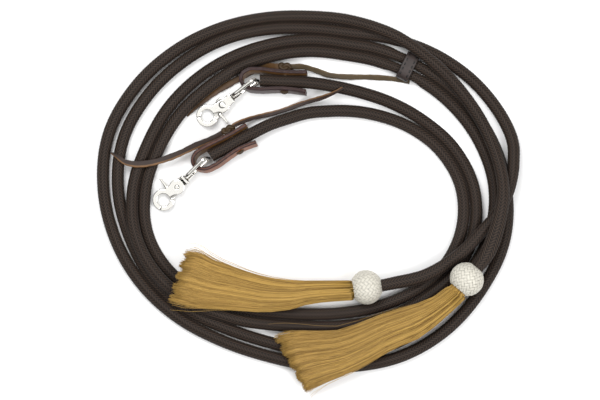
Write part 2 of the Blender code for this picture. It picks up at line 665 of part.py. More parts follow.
def tassel(number):
    """Horsehair as one plain bundle: a round root inside the button, then a flattened fan."""
    hand = HAND_ENDS[number]
    centre = hand["centre"]
    ahead = Vector((math.cos(hand["yaw"]), math.sin(hand["yaw"]), 0))
    across = Vector((-ahead.y, ahead.x, 0)) * HAIR_ROOT_R
    root = 2.2 * MM
    sections = []
    for along in (root, BUTTON_R - 1.0 * MM):
        middle = centre + ahead * along
        sections.append((middle - across, middle + across, HAIR_ROOT_R))
    for x1, y1, x2, y2, height, half in TASSELS[number]:
        left = COIL_CENTRE + Vector((x1, y1, height)) * MM
        right = COIL_CENTRE + Vector((x2, y2, height)) * MM
        sections.append((left, right, half * MM))
    return add_mesh(f"tassel_hair_{number}", lambda bm: loft(bm, sections), HAIR, Matrix.Identity(4))


# ---------------------------------------------------------------- keeper
def chord_middle(number):
    """Middle and direction of the straight stretch that the keeper rides on."""
    path = rope_path(number)
    best = None
    for a, b in zip(path, path[1:]):
        middle = (a + b) / 2
        local = middle - COIL_CENTRE
        off = abs((math.degrees(math.atan2(local.y, local.x)) - KEEPER_ANGLE + 180) % 360 - 180)
        nearness = off + (0 if local.length < 0.186 else 90)
        if best is None or nearness < best[0]:
            best = (nearness, middle, (b - a).normalized())
    return best[1], best[2]


def rein_keeper():
    """A band of leather round two turns of rope, open inside."""
    outer, along = chord_middle(1)
    inner, _ = chord_middle(2)
    middle = (outer + inner) / 2
    across = outer - inner
    across -= along * across.dot(along)
    half = across.length / 2
    yaw = math.atan2(along.y, along.x)
    side = 1 if Vector((-along.y, along.x, 0)).dot(across) > 0 else -1
    wall = ROPE_R + KEEPER_SLACK + KEEPER_T / 2
    line = [(half * side + side * wall * math.cos(t), wall * math.sin(t)) for t in
            [math.radians(-90 + 18 * k) for k in range(11)]]
    line += [(-half * side - side * wall * math.cos(t), -wall * math.sin(t)) for t in
             [math.radians(-90 + 18 * k) for k in range(11)]]

    def band(bm):
        back = [bm.verts.new((-KEEPER_W / 2, y, z)) for y, z in line]
        front = [bm.verts.new((KEEPER_W / 2, y, z)) for y, z in line]
        for i in range(len(line)):
            following = (i + 1) % len(line)
            bm.faces.new((back[i], back[following], front[following], front[i]))
    place = frame(middle, yaw)
    keeper = add_mesh("rein_keeper", band, KEEPER, place)
    thickness = keeper.modifiers.new("thickness", "SOLIDIFY")
    thickness.thickness = KEEPER_T
    thickness.offset = 0
    return keeper


# ---------------------------------------------------------------- build
for stale in list(bpy.data.objects):
    bpy.data.objects.remove(stale)

PARTS = new_collection("split_reins")
CUTTERS = new_collection("cutters")

ROPE = make_material("braided polyester rope", (0.040, 0.026, 0.020), 0.85)
LEATHER = make_material("bridle leather", (0.165, 0.090, 0.045), 0.55)
LACE = make_material("leather lace", (0.105, 0.060, 0.022), 0.60)
NICKEL = make_material("nickel plate", (0.72, 0.71, 0.69), 0.16, 1.0)
STEEL = make_material("spring steel", (0.55, 0.55, 0.56), 0.30, 1.0)
RAWHIDE = make_material("braided rawhide", (0.70, 0.68, 0.62), 0.60)
CORE = make_material("turned wood core", (0.36, 0.22, 0.11), 0.70)
THREAD = make_material("waxed thread", (0.45, 0.38, 0.26), 0.60)
HAIR = make_material("horsehair", (0.52, 0.31, 0.09), 0.45)
KEEPER = make_material("dark bridle leather", (0.068, 0.050, 0.046), 0.50)

for rein in (1, 2):
    rope(rein)
    leather_loop(rein)
    leather_tie(rein)
    eye_frame, snap_frame = snap_frames(rein)
    swivel_eye(rein, eye_frame)
    fixed_jaw(rein, snap_frame)
    trigger_jaw(rein, snap_frame)
    pivot_rivet(rein, snap_frame)
    trigger_spring(rein, snap_frame)
    button_pieces(rein)
    tassel(rein)
for lace_name, lace_route in LACES.items():
    lace(lace_name, lace_route)
rein_keeper()
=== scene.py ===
# %% [markdown]
# # A pair of split reins, coiled flat
# Split reins are two separate ropes. Each one clips to the bit with a swivel snap and ends, in the
# rider's hand, in a braided button with a horsehair tassel. Here both ropes lie in one coil on a table.
# This lesson builds the soft pieces in mesh code around a fixed frame of plain solids, and gives every
# piece a finish made from nodes.

# %% The frame and the tools
import json
import math

import bpy
import numpy as np
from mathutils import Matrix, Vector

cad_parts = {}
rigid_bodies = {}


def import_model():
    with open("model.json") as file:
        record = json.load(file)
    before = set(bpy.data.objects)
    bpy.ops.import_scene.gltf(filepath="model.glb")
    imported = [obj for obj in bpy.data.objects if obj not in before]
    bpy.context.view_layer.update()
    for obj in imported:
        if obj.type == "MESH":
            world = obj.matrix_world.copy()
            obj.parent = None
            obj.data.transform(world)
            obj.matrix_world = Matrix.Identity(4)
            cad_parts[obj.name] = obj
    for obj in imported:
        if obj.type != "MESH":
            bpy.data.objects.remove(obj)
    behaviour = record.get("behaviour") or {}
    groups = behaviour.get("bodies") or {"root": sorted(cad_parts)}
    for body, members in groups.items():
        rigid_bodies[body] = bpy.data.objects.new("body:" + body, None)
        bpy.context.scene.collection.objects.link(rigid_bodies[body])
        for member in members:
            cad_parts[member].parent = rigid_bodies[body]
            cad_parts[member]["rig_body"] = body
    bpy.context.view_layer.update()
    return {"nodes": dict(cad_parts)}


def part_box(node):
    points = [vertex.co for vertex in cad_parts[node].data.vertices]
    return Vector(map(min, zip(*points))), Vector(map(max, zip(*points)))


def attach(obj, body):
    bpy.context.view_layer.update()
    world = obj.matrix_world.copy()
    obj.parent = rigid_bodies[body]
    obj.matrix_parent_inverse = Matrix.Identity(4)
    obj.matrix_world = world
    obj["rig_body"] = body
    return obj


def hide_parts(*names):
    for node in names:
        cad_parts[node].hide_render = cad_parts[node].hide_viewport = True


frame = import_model()
nodes = frame["nodes"]
MM = 0.001
UP = np.array((0.0, 0.0, 1.0))
chance = np.random.default_rng(11)

# %% [markdown]
# ## The camera
# The coil is seen from straight above. A long lens from three metres keeps the raised pieces from
# leaning outwards, and the view is 660 mm wide where the ropes lie.

# %% Camera
VIEW_WIDTH = 660 * MM
VIEW_CENTRE = (-18.8 * MM, 22.7 * MM)
ROPE_HEIGHT = 6 * MM
CAMERA_HEIGHT = 3.0
SENSOR = 36.0
camera = bpy.data.objects.new("camera", bpy.data.cameras.new("camera"))
bpy.context.scene.collection.objects.link(camera)
camera.location = (*VIEW_CENTRE, CAMERA_HEIGHT)
camera.data.sensor_width = SENSOR
camera.data.lens = SENSOR * (CAMERA_HEIGHT - ROPE_HEIGHT) / VIEW_WIDTH
bpy.context.scene.camera = camera
print("lens", round(camera.data.lens, 1), "mm")

# %% [markdown]
# ## Helpers for shapes
# Nearly every piece here is a section carried along a line: a rope, a strap, a lace, a single hair.
# So one function skins rows of rings, many strands at a time, and another one finds the directions
# along a line. Values kept on the points, such as how deep in a groove a point lies, are read by the
# finishes later.


# %% Skins
def skin_faces(strands, rings, around, closed, caps):
    """Corner numbers of the faces over strands of rings, and of the end faces."""
    grid = np.arange(strands * rings * around).reshape(strands, rings, around)
    near, far = (grid, np.roll(grid, -1, axis=1)) if closed else (grid[:, :-1], grid[:, 1:])
    quads = np.stack([near, far, np.roll(far, -1, axis=2), np.roll(near, -1, axis=2)], axis=-1)
    ends = []
    if caps and not closed:
        ends = [*grid[:, 0].tolist(), *grid[:, -1, ::-1].tolist()]
    return quads.reshape(-1, 4), ends


def make_piece(name, skins, finishes, body, values=None, stands_for=()):
    """A piece from a list of (points, closed, caps), its points shaped (strands, rings, around, 3)."""
    points, quads, ends, count = [], [], [], 0
    for shape, closed, caps in skins:
        face, end = skin_faces(*shape.shape[:3], closed, caps)
        points.append(shape.reshape(-1, 3))
        quads.append(face + count)
        ends += [[corner + count for corner in ring] for ring in end]
        count += len(points[-1])
    points, quads = np.vstack(points), np.vstack(quads)
    corner = points[quads]
    volume = np.einsum("ij,ij->i", corner[:, 0], np.cross(corner[:, 1], corner[:, 2])).sum()
    volume += np.einsum("ij,ij->i", corner[:, 0], np.cross(corner[:, 2], corner[:, 3])).sum()
    faces = quads.tolist() + ends
    if volume < 0:
        faces = [face[::-1] for face in faces]
    mesh = bpy.data.meshes.new(name)
    mesh.from_pydata(points.tolist(), [], faces)
    mesh.polygons.foreach_set("use_smooth", [True] * len(faces))
    for label, data in (values or {}).items():
        layer = mesh.attributes.new(label, "FLOAT", "POINT")
        layer.data.foreach_set("value", np.asarray(data, np.float32).ravel())
    for finish in finishes:
        mesh.materials.append(finish)
    piece = bpy.data.objects.new(name, mesh)
    bpy.context.scene.collection.objects.link(piece)
    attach(piece, body)
    if stands_for:
        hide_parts(*stands_for)
    print(name, len(points), "points")
    return piece


def unit(v):
    return v / np.maximum(np.linalg.norm(v, axis=-1, keepdims=True), 1e-12)


def ramp(value, span):
    """Grows from 0 to 1 over a span, for soft starts and ends."""
    return np.clip(value / span, 0, 1)


def smooth_line(points, per_span):
    """A Catmull-Rom line through given points."""
    p = np.array(points, float)
    p = np.vstack([2 * p[0] - p[1], p, 2 * p[-1] - p[-2]])
    t = np.arange(per_span)[:, None] / per_span
    out = []
    for a, b, c, d in zip(p, p[1:], p[2:], p[3:]):
        out.append(0.5 * (2 * b + (c - a) * t + (2 * a - 5 * b + 4 * c - d) * t**2
                          + (3 * b - a - 3 * c + d) * t**3))
    return np.vstack([*out, p[-2:-1]])


def evenly(line, step):
    """The same line read at even distances, and those distances."""
    run = np.r_[0, np.cumsum(np.linalg.norm(np.diff(line, axis=0), axis=1))]
    at = np.linspace(0, run[-1], max(3, int(run[-1] / step) + 1))
    return np.stack([np.interp(at, run, line[:, k]) for k in range(3)], axis=1), at


def directions(line, closed=False, up=UP):
    """Forward, sideways and upward unit directions along a line."""
    if closed:
        forward = unit(np.roll(line, -1, axis=0) - np.roll(line, 1, axis=0))
    else:
        forward = unit(np.gradient(line, axis=0))
    side = unit(np.cross(forward, up))
    return forward, side, np.cross(side, forward)


def ring_of(line, side, rise, across, high):
    """Rings round a line from a section's two coordinates, one row per ring or one row for all."""
    across, high = np.atleast_2d(across), np.atleast_2d(high)
    return line[:, None] + side[:, None] * across[..., None] + rise[:, None] * high[..., None]


def rounded(width, thickness, corner, per_corner=4, flat=6):
    """Section of a strap: a rectangle with rounded corners, as two rows of coordinates."""
    x, y = [], []
    for quarter in range(4):
        sx, sy = ((1, 1), (-1, 1), (-1, -1), (1, -1))[quarter]
        for k in range(per_corner):
            turn = math.pi / 2 * (quarter + k / (per_corner - 1))
            x.append(sx * (width / 2 - corner) + corner * math.cos(turn))
            y.append(sy * (thickness / 2 - corner) + corner * math.sin(turn))
        if quarter in (0, 2):
            reach = np.linspace(sx, -sx, flat + 2)[1:-1] * (width / 2 - corner)
            x += reach.tolist()
            y += [sy * thickness / 2] * flat
    return np.array(x), np.array(y)


# %% [markdown]
# ## Helpers for finishes
# Colours are written as they look on a screen, in hex, and one function turns them to the linear
# light that the renderer works in. One more function adds a node with its settings and links.


# %% Finishes
def colour(code):
    """An sRGB hex colour as linear light."""
    parts = [int(code[i:i + 2], 16) / 255 for i in (1, 3, 5)]
    return (*[c / 12.92 if c <= 0.04045 else ((c + 0.055) / 1.055) ** 2.4 for c in parts], 1)


def add_node(tree, kind, settings=None, links=None):
    """Adds one node. Settings are its own properties or its inputs' values, and links feed its inputs."""
    node = tree.nodes.new("ShaderNode" + kind)
    for key, value in (settings or {}).items():
        if isinstance(key, str) and hasattr(node, key):
            setattr(node, key, value)
        else:
            node.inputs[key].default_value = value
    for key, source in (links or {}).items():
        tree.links.new(source, node.inputs[key])
    return node


def start_finish(name, **sockets):
    """A new material and its Principled shader, with the sockets that are the same all over."""
    material = bpy.data.materials.new(name)
    material.use_nodes = True
    shader = material.node_tree.nodes["Principled BSDF"]
    for key, value in sockets.items():
        shader.inputs[key.replace("_", " ")].default_value = value
    return material, material.node_tree, shader


# %% [markdown]
# ## Studio
# A white table under two large soft lights, in a light tent with a darker rim low round the room. The
# rim is dark up to 30 degrees and has faded out at about 50. From above it shows only in the metal: it
# is what gives polished nickel its dark edges.

# %% Table and light
TABLE_SIZE = 3.0
table = bpy.data.meshes.new("table")
half = TABLE_SIZE / 2
corners = [(-half, -half, 0), (half, -half, 0), (half, half, 0), (-half, half, 0)]
table.from_pydata(corners, [], [(0, 1, 2, 3)])
floor = bpy.data.objects.new("table", table)
bpy.context.scene.collection.objects.link(floor)
paper, tree, shader = start_finish("matt white paper", Roughness=0.9)
shader.inputs["Base Color"].default_value = colour("#fbfbfb")
table.materials.append(paper)

RIM_DARK, RIM_GONE = 0.5, 0.78
RIM_LIGHT, TENT_LIGHT = 0.02, 1.12
scene = bpy.context.scene
scene.view_settings.view_transform = "Standard"
scene.world = bpy.data.worlds.new("light tent")
scene.world.use_nodes = True
sky = scene.world.node_tree
spot = add_node(sky, "TexCoord")
split = add_node(sky, "SeparateXYZ", links={0: spot.outputs["Generated"]})
lift = add_node(sky, "MapRange", {"From Min": RIM_DARK, "From Max": RIM_GONE, "To Min": RIM_LIGHT,
                                  "To Max": TENT_LIGHT}, {"Value": split.outputs["Z"]})
sky.nodes["Background"].inputs["Color"].default_value = (1, 1, 1, 1)
sky.links.new(lift.outputs["Result"], sky.nodes["Background"].inputs["Strength"])


def softbox(name, place, aim, size, power):
    """A square area light in metres and watts, turned towards a point."""
    light = bpy.data.lights.new(name, "AREA")
    light.shape, light.size, light.energy = "SQUARE", size, power
    box = bpy.data.objects.new(name, light)
    bpy.context.scene.collection.objects.link(box)
    box.location = place
    back = np.array(place) - np.array(aim)
    flat = math.hypot(back[0], back[1])
    box.rotation_euler = (math.atan2(flat, back[2]), 0, math.atan2(back[0], -back[1]))


softbox("key", (-0.5, 0.8, 1.6), (0, 0, 0), 0.9, 22)
softbox("fill", (0.9, -0.5, 1.4), (0, 0, 0), 0.8, 14)
print("studio ready")

# %% [markdown]
# ## Where everything lies
# Both ropes are given as stations about the middle of the coil: an angle, a distance and a height.
# The bit end starts in a leather loop and the hand end goes into a button, and these two places are
# added to the stations so that the line runs on smoothly into them.

# %% Layout
COIL_CENTRE = np.array((-10.03, 35.91, 0.0)) * MM


def at(angle, radius, height):
    """A point about the coil's centre: degrees, millimetres, millimetres."""
    turn = math.radians(angle)
    return COIL_CENTRE + np.array((math.cos(turn) * radius, math.sin(turn) * radius, height)) * MM


ROUTES = {
    1: [(75, 115.3, 10.2), (60, 120.5, 7.2), (45, 131.5, 6.1),
        (30, 147, 6.1), (15, 166.4, 6.1), (0, 182.3, 6.1), (-15, 189, 6.1), (-30, 186, 6.1), (-45, 176, 6.1),
        (-60, 166, 6.1), (-75, 157, 6.1), (-90, 152.5, 6.1), (-105, 155.5, 6.5), (-120, 165.5, 9.5),
        (-135, 178.5, 15.0), (-150, 191, 17.2), (-165, 196, 16.6), (-180, 192, 9.5), (-195, 183, 6.2),
        (-210, 177, 6.1), (-225, 171, 6.1), (-240, 166.2, 6.1), (-255, 163.2, 6.1), (-270, 163.0, 6.1),
        (-285, 164.4, 6.3), (-297, 171, 8.2), (-307, 177.2, 9.3), (-315, 183, 9.3), (-328, 194.2, 7.2),
        (-345, 208.5, 6.1), (-360, 218, 6.1), (-375, 223.5, 6.1), (-390, 221, 6.1), (-405, 218, 6.1),
        (-420, 212, 6.1), (-435, 202.5, 6.1), (-450, 194, 6.1), (-465, 190, 6.1), (-480, 193, 6.1),
        (-495, 201.5, 6.1), (-510, 211, 6.1), (-525, 219, 6.1), (-540, 225, 6.1), (-555, 227, 6.1),
        (-570, 220, 6.1), (-585, 210.5, 6.1), (-600, 201, 6.1), (-615, 193, 6.1), (-630, 188.5, 6.1),
        (-645, 189.5, 9.5), (-652.5, 190.5, 15.5), (-660, 192, 19.2), (-667.5, 193, 19.8), (-675, 194, 19.4),
        (-690, 199, 18.9), (-705, 206.5, 20.5), (-712.5, 210.5, 25.5), (-720, 213, 30.6),
        (-727.5, 212, 31.8)],
    2: [(120, 81, 10.2), (105, 79.5, 7.2), (90, 82.5, 6.1), (75, 87.5, 6.1), (60, 97.5, 6.1), (45, 112, 6.1),
        (30, 131.5, 6.1), (15, 152.3, 6.1), (0, 168.5, 6.1), (-15, 175, 6.1), (-30, 172.5, 6.1),
        (-45, 162, 6.1), (-60, 151, 6.1), (-75, 142.5, 6.1), (-90, 139, 6.1), (-105, 142, 6.1),
        (-120, 151.5, 6.1), (-135, 165, 6.1), (-150, 178.5, 6.1), (-165, 183.5, 6.1), (-180, 178.6, 6.1),
        (-195, 169.5, 6.1), (-210, 162.5, 6.1), (-225, 156, 6.1), (-240, 152.8, 6.1), (-255, 150.5, 6.1),
        (-270, 150.5, 6.1), (-285, 152, 6.3), (-297, 158, 8.2), (-307, 164.2, 9.3), (-315, 170, 9.3),
        (-328, 181.2, 7.2), (-345, 195.5, 6.1), (-360, 205, 6.1), (-375, 206, 6.1), (-390, 200, 6.1),
        (-405, 200, 6.1), (-420, 196, 6.1), (-435, 187, 6.1), (-450, 179, 6.1), (-465, 175, 6.1),
        (-480, 178.5, 6.1), (-495, 188.5, 6.1), (-510, 198, 6.1), (-525, 203.5, 6.1), (-540, 209, 6.1),
        (-555, 210, 6.1), (-570, 203.5, 6.1), (-585, 195.5, 6.1), (-600, 188, 6.1), (-615, 180.5, 6.1),
        (-630, 175.7, 6.1), (-645, 177, 6.1), (-660, 189, 6.1), (-675, 204, 6.1), (-690, 219, 6.1),
        (-705, 230, 9.5), (-712.5, 227.5, 14.5), (-720, 220.5, 18.7), (-727.5, 209.5, 19.2),
        (-735, 195, 19.0), (-750, 171, 18.7), (-757.5, 159, 18.3)],
}
BIT_ENDS = {1: {"crossbar": at(115.75, 131.2, 13.0), "yaw": -2.5, "tie": 31.5},
            2: {"crossbar": at(163.6, 115.3, 13.0), "yaw": 29.0, "tie": 35.3}}
HAND_ENDS = {1: {"centre": at(-749.9, 199.8, 30.5), "yaw": 230.0},
             2: {"centre": at(-779.6, 126.2, 18.3), "yaw": 188.7}}
ROPE_R = 6.9
BUTTON_R = 18.0
LOOP_LENGTH = 55.5
ROPE_SETBACK = 4.2


def axes(yaw):
    """Forward, left and up directions of a piece that is turned on the table."""
    turn = math.radians(yaw)
    return np.array([(math.cos(turn), math.sin(turn), 0), (-math.sin(turn), math.cos(turn), 0), (0, 0, 1)])


def placed(local, origin, turned):
    """Points in a piece's own millimetres, put in the scene."""
    return origin + np.asarray(local, float) @ turned * MM


def station(point, before):
    """A point as angle, distance and height, its angle just below another."""
    local = (point - COIL_CENTRE) / MM
    angle = math.degrees(math.atan2(local[1], local[0]))
    angle -= 360 * math.ceil((angle - before) / 360)
    return angle, math.hypot(local[0], local[1]), local[2]


def rope_line(number):
    """The rope's centre line, from the crossbar to the middle of the button."""
    bit, hand = BIT_ENDS[number], HAND_ENDS[number]
    inside = [placed((x, 0, 0), bit["crossbar"], axes(bit["yaw"])) for x in
              (ROPE_SETBACK, LOOP_LENGTH / 2, LOOP_LENGTH)]
    arrive = axes(hand["yaw"])[0]
    last = ROUTES[number][-1][0]
    stations = [*[station(p, 180) for p in inside], *ROUTES[number],
                station(hand["centre"] - arrive * (BUTTON_R + 2 * ROPE_R) * MM, last),
                station(hand["centre"] - arrive * MM, last)]
    return np.array([at(*s) for s in smooth_line(stations, 12)])


ROPE_LINES = {number: rope_line(number) for number in (1, 2)}
for number, line in ROPE_LINES.items():
    print("rope", number, round(evenly(line, 0.002)[1][-1], 3), "m")

# %% [markdown]
# ## Finish: braided polyester cord
# The cover is plaited from shiny filament yarn, dyed through in dark brown. Its colour is painted
# nearly black down in the grooves as painted shade, and a grey-brown painted highlight lies on the
# crowns of the yarn. The filaments are far finer than a view of the whole coil can show, so they are
# drawn as streaks of about 0.4 mm.

# %% Rope finish
CORD, tree, shader = start_finish("braided polyester cord, dyed brown", Roughness=0.6)
shader.inputs["Specular IOR Level"].default_value = 0.18
shader.inputs["Sheen Weight"].default_value = 0.06
shader.inputs["Sheen Roughness"].default_value = 0.4
crown = add_node(tree, "Attribute", {"attribute_name": "crown"})
spot = add_node(tree, "TexCoord")
streak = add_node(tree, "TexNoise", {"Scale": 1 / (0.8 * MM), "Detail": 3.0},
                  {"Vector": spot.outputs["Object"]})
drift = add_node(tree, "TexNoise", {"Scale": 1 / (60 * MM), "Detail": 2.0},
                 {"Vector": spot.outputs["Object"]})
# Painted highlight and painted shade: the crowns of the yarn are coloured grey-brown and the grooves nearly
# black.
painted_highlight_share = add_node(tree, "Math", {"operation": "POWER", 1: 2.2}, {0: crown.outputs["Fac"]})
groove_shade_crown_highlight = add_node(tree, "Mix", {"data_type": "RGBA", 6: colour("#070504"), 7: colour("#4f4036")},
                 {0: painted_highlight_share.outputs[0]})
fleck = add_node(tree, "Mix", {"data_type": "RGBA", "blend_type": "MULTIPLY", 0: 0.35},
                 {6: groove_shade_crown_highlight.outputs[2], 7: streak.outputs["Fac"]})
worn = add_node(tree, "Mix", {"data_type": "RGBA", "blend_type": "OVERLAY", 0: 0.15},
                {6: fleck.outputs[2], 7: drift.outputs["Fac"]})
bump = add_node(tree, "Bump", {"Strength": 0.35, "Distance": 0.15 * MM}, {"Height": streak.outputs["Fac"]})
tree.links.new(worn.outputs[2], shader.inputs["Base Color"])
tree.links.new(bump.outputs["Normal"], shader.inputs["Normal"])
print(CORD.name)

# %% [markdown]
# ## The ropes
# A plaited cover shows short floats of yarn that lean left and right in turn, so each pair of columns
# reads as a row of chevrons. Ten columns go round the rope and a new float starts every 3.6 mm.
# The real cover is finer, with floats about 3 mm apart. The relief is real geometry: each ring of the
# rope is pushed in where two floats meet. The rope is soft, so it sits flat on the table, spreads a
# little where it nears its button, and is squeezed by a millimetre in and beside the keeper.

# %% Ropes
COLUMNS = 10
COURSE = 3.6
FLOAT_LEAN = 1.5
RELIEF = 0.8
PER_COLUMN = 5
FLAT_NEAR_BUTTON = {1: 0.24, 2: 0.08}
KEEPER_CENTRE = np.array((99.20, 168.40, 9.17)) * MM
KEEPER_AXIS = np.array((-0.893, 0.450, 0.0))
SQUEEZE = 1.1
SQUEEZE_ALONG, SQUEEZE_FADES_ALONG = 24, 8
SQUEEZE_BESIDE, SQUEEZE_FADES_BESIDE = 28, 10
PRESS_FROM, PRESS_GROWS = 18, 20
PRESS_TO, PRESS_FADES = 110, 60
PRESS_SINKS = 0.4
TABLE_GAP = 0.02


def braid(along, around):
    """How high the yarn stands, 0 in a groove and 1 on a crown; along is in mm, around in turns."""
    column = around * COLUMNS
    within = column % 1
    lean = np.where(np.floor(column) % 2 == 0, 1.0, -1.0)
    float_phase = along / COURSE + lean * (within - 0.5) * FLOAT_LEAN
    return np.abs(np.sin(np.pi * float_phase)) ** 0.9 * np.sin(np.pi * within) ** 0.25


around = (np.arange(COLUMNS * PER_COLUMN) + 0.5) / (COLUMNS * PER_COLUMN)
ropes = {}
for number, line in ROPE_LINES.items():
    line, run = evenly(line, COURSE / 5 * MM)
    forward, side, rise = directions(line)
    crown = braid(run[:, None] / MM, around[None, :])
    radius = (ROPE_R - RELIEF * (1 - crown)) * MM
    past = (line - KEEPER_CENTRE) @ KEEPER_AXIS
    beside = np.linalg.norm(line - KEEPER_CENTRE - past[:, None] * KEEPER_AXIS, axis=1) / MM
    held = (ramp(SQUEEZE_ALONG - np.abs(past) / MM, SQUEEZE_FADES_ALONG)
            * ramp(SQUEEZE_BESIDE - beside, SQUEEZE_FADES_BESIDE))
    radius = radius - (SQUEEZE * MM * held)[:, None]
    left = (run[-1] - run) / MM
    press = (FLAT_NEAR_BUTTON[number] * ramp(left - PRESS_FROM, PRESS_GROWS)
             * ramp(PRESS_TO - left, PRESS_FADES))
    wide, low = (1 + press)[:, None], (1 - PRESS_SINKS * press)[:, None]
    rings = ring_of(line, side, rise, radius * wide * np.cos(2 * np.pi * around),
                    radius * low * np.sin(2 * np.pi * around))
    rings[..., 2] = np.maximum(rings[..., 2], TABLE_GAP * MM)
    piece = make_piece(f"rope_{number}", [(rings[None], False, True)], [CORD], "reins",
                       {"crown": crown}, [f"rein_rope_{number}"])
    ropes[number] = line

# %% [markdown]
# ## Finish: bridle leather
# Bridle leather is tanned with oak bark, curried with grease and dyed on the grain side only. The
# grain side is smooth and brown, the flesh side stays lighter and a little fuzzy, and the cut edges
# are burnished dark and shiny. The pores are about 0.6 mm apart.

# %% Leather finishes
def leather(name, grain, flesh, edge, roughness, pore):
    """Leather whose points say how much they are flesh side and how much cut edge."""
    material, tree, shader = start_finish(name, Roughness=roughness)
    shader.inputs["Specular IOR Level"].default_value = 0.28
    spot = add_node(tree, "TexCoord")
    on_flesh = add_node(tree, "Attribute", {"attribute_name": "flesh"})
    on_edge = add_node(tree, "Attribute", {"attribute_name": "edge"})
    cloud = add_node(tree, "TexNoise", {"Scale": 1 / (9 * MM), "Detail": 4.0},
                     {"Vector": spot.outputs["Object"]})
    pores = add_node(tree, "TexVoronoi", {"Scale": 1 / pore}, {"Vector": spot.outputs["Object"]})
    sides = add_node(tree, "Mix", {"data_type": "RGBA", 6: colour(grain), 7: colour(flesh)},
                     {0: on_flesh.outputs["Fac"]})
    rims = add_node(tree, "Mix", {"data_type": "RGBA", 7: colour(edge)},
                    {0: on_edge.outputs["Fac"], 6: sides.outputs[2]})
    tone = add_node(tree, "MapRange", {"From Min": 0.3, "From Max": 0.7, "To Min": 0.7, "To Max": 1.15},
                    {"Value": cloud.outputs["Fac"]})
    tint = add_node(tree, "Mix", {"data_type": "RGBA", "blend_type": "MULTIPLY", 0: 1.0},
                    {6: rims.outputs[2], 7: tone.outputs["Result"]})
    bump = add_node(tree, "Bump", {"Strength": 0.4, "Distance": 0.12 * MM},
                    {"Height": pores.outputs["Distance"]})
    tree.links.new(tint.outputs[2], shader.inputs["Base Color"])
    tree.links.new(bump.outputs["Normal"], shader.inputs["Normal"])
    return material


BRIDLE = {1: leather("bridle leather, dark", "#3c211b", "#6e4d2a", "#2a191a", 0.42, 0.6 * MM),
          2: leather("bridle leather, russet", "#7c4217", "#6e4d2a", "#301c1c", 0.42, 0.6 * MM)}
LATIGO = {"knot": leather("latigo lace, knotted", "#3d2d1a", "#4f3a22", "#54432a", 0.5, 0.5 * MM),
          "dark": leather("latigo lace, dark", "#2b1c15", "#4f3a22", "#6e4f30", 0.5, 0.5 * MM),
          "olive": leather("latigo lace, olive", "#40321a", "#4d3c20", "#54432a", 0.5, 0.5 * MM),
          "red": leather("latigo lace, red brown", "#533a1e", "#4a3820", "#4c3524", 0.5, 0.5 * MM)}
KEEPER_LEATHER = leather("keeper leather, nearly black", "#3a3230", "#3a2d26", "#241d1c", 0.45,
                         0.7 * MM)
print("leathers ready")

# %% [markdown]
# ## The leather loops
# A strap stands on edge, goes round the eye of the snap and lies along both sides of the rope. It is
# swept here as a rounded section. The cut edge has a fine groove along its middle, where the edge
# iron ran. The bend swells because thick leather won't fold flat, the tie pinches the two arms, and
# their free ends spring open. The whole loop leans a little to one side, as it does on a table.

# %% Loops
STRAP_T = 4.2
STRAP_W = 15.0
ROPE_ROOM = 0.15
BEND_REACH = 18.0
CORNER_POINTS = 5
EDGE_WAVE = 0.12
GROOVE = np.array([0.7, 0.25, -0.25, -0.7])
GROOVE_DEPTH = np.array([0, 0.35, 0.35, 0])
arm = ROPE_R + ROPE_ROOM + STRAP_T / 2
tip = BEND_REACH - STRAP_T / 2
SHAPES = {1: {"pinch": 31.5, "swell": (1.8, 1.6), "flare": (0.6, 1.8), "lean": (-1.6, 3.4)},
          2: {"pinch": 35.3, "swell": (1.2, 2.6), "flare": (0.8, 2.6), "lean": (-1.9, 3.0)}}


def strap_line(shape):
    """The middle of the strap: out along one arm, round the bend and back along the other."""
    arms = []
    pinch = shape["pinch"]
    for sign, swell, flare in zip((1, -1), shape["swell"], shape["flare"]):
        rows = [(LOOP_LENGTH, arm + flare), ((LOOP_LENGTH + pinch) / 2, arm + flare * 0.35), (pinch, arm),
                (pinch * 0.62, arm + swell * 0.35), (pinch * 0.25, arm + swell), (0, arm + swell),
                (-tip * 0.4, arm + swell * 0.7), (-tip * 0.75, arm * 0.82), (-tip * 0.96, arm * 0.38)]
        arms.append([(x, sign * y, 0) for x, y in rows])
    return arms[0] + [(-tip, 0, 0)] + arms[1][::-1]


def strap_section():
    """The strap's rounded section, with a groove down the middle of both cut edges."""
    x, y = rounded(STRAP_T, STRAP_W, 0.9, CORNER_POINTS, 0)
    first, third = CORNER_POINTS, 3 * CORNER_POINTS
    bed = STRAP_W / 2 - GROOVE_DEPTH
    return (np.concatenate([x[:first], GROOVE, x[first:third], -GROOVE, x[third:]]),
            np.concatenate([y[:first], bed, y[first:third], -bed, y[third:]]))


across, high = strap_section()
for number, bit in BIT_ENDS.items():
    shape = SHAPES[number]
    place = (bit["crossbar"], axes(bit["yaw"]))
    line, run = evenly(placed(smooth_line(strap_line(shape), 14), *place), 0.7 * MM)
    forward, side, rise = directions(line)
    wave = EDGE_WAVE * np.sin(run / MM * 0.9 + number)[:, None]
    rings = ring_of(line, side, rise, (across + wave * 0.5) * MM, (high + wave) * MM)
    rings[..., :2] += np.array(shape["lean"]) * MM * (high / STRAP_W)[None, :, None]
    middle = placed((20, 0, 0), *place)
    facing = np.einsum("nk,nk->n", side, unit(middle - line))
    to_rope = np.sign(facing.mean())
    flesh = np.clip(to_rope * across / STRAP_T * 2, 0, 1) ** 0.7 * np.ones((len(line), 1))
    edge = np.clip((np.abs(high) - STRAP_W / 2 + 0.8) / 0.5, 0, 1) * np.ones((len(line), 1))
    groove = (np.abs(across) < 0.3) & (np.abs(high) > STRAP_W / 2 - 0.5)
    edge = np.where(groove, 0.6, edge)
    make_piece(f"strap_loop_{number}", [(rings[None], False, True)], [BRIDLE[number]], "reins",
               {"flesh": flesh, "edge": edge}, [f"leather_loop_{number}"])
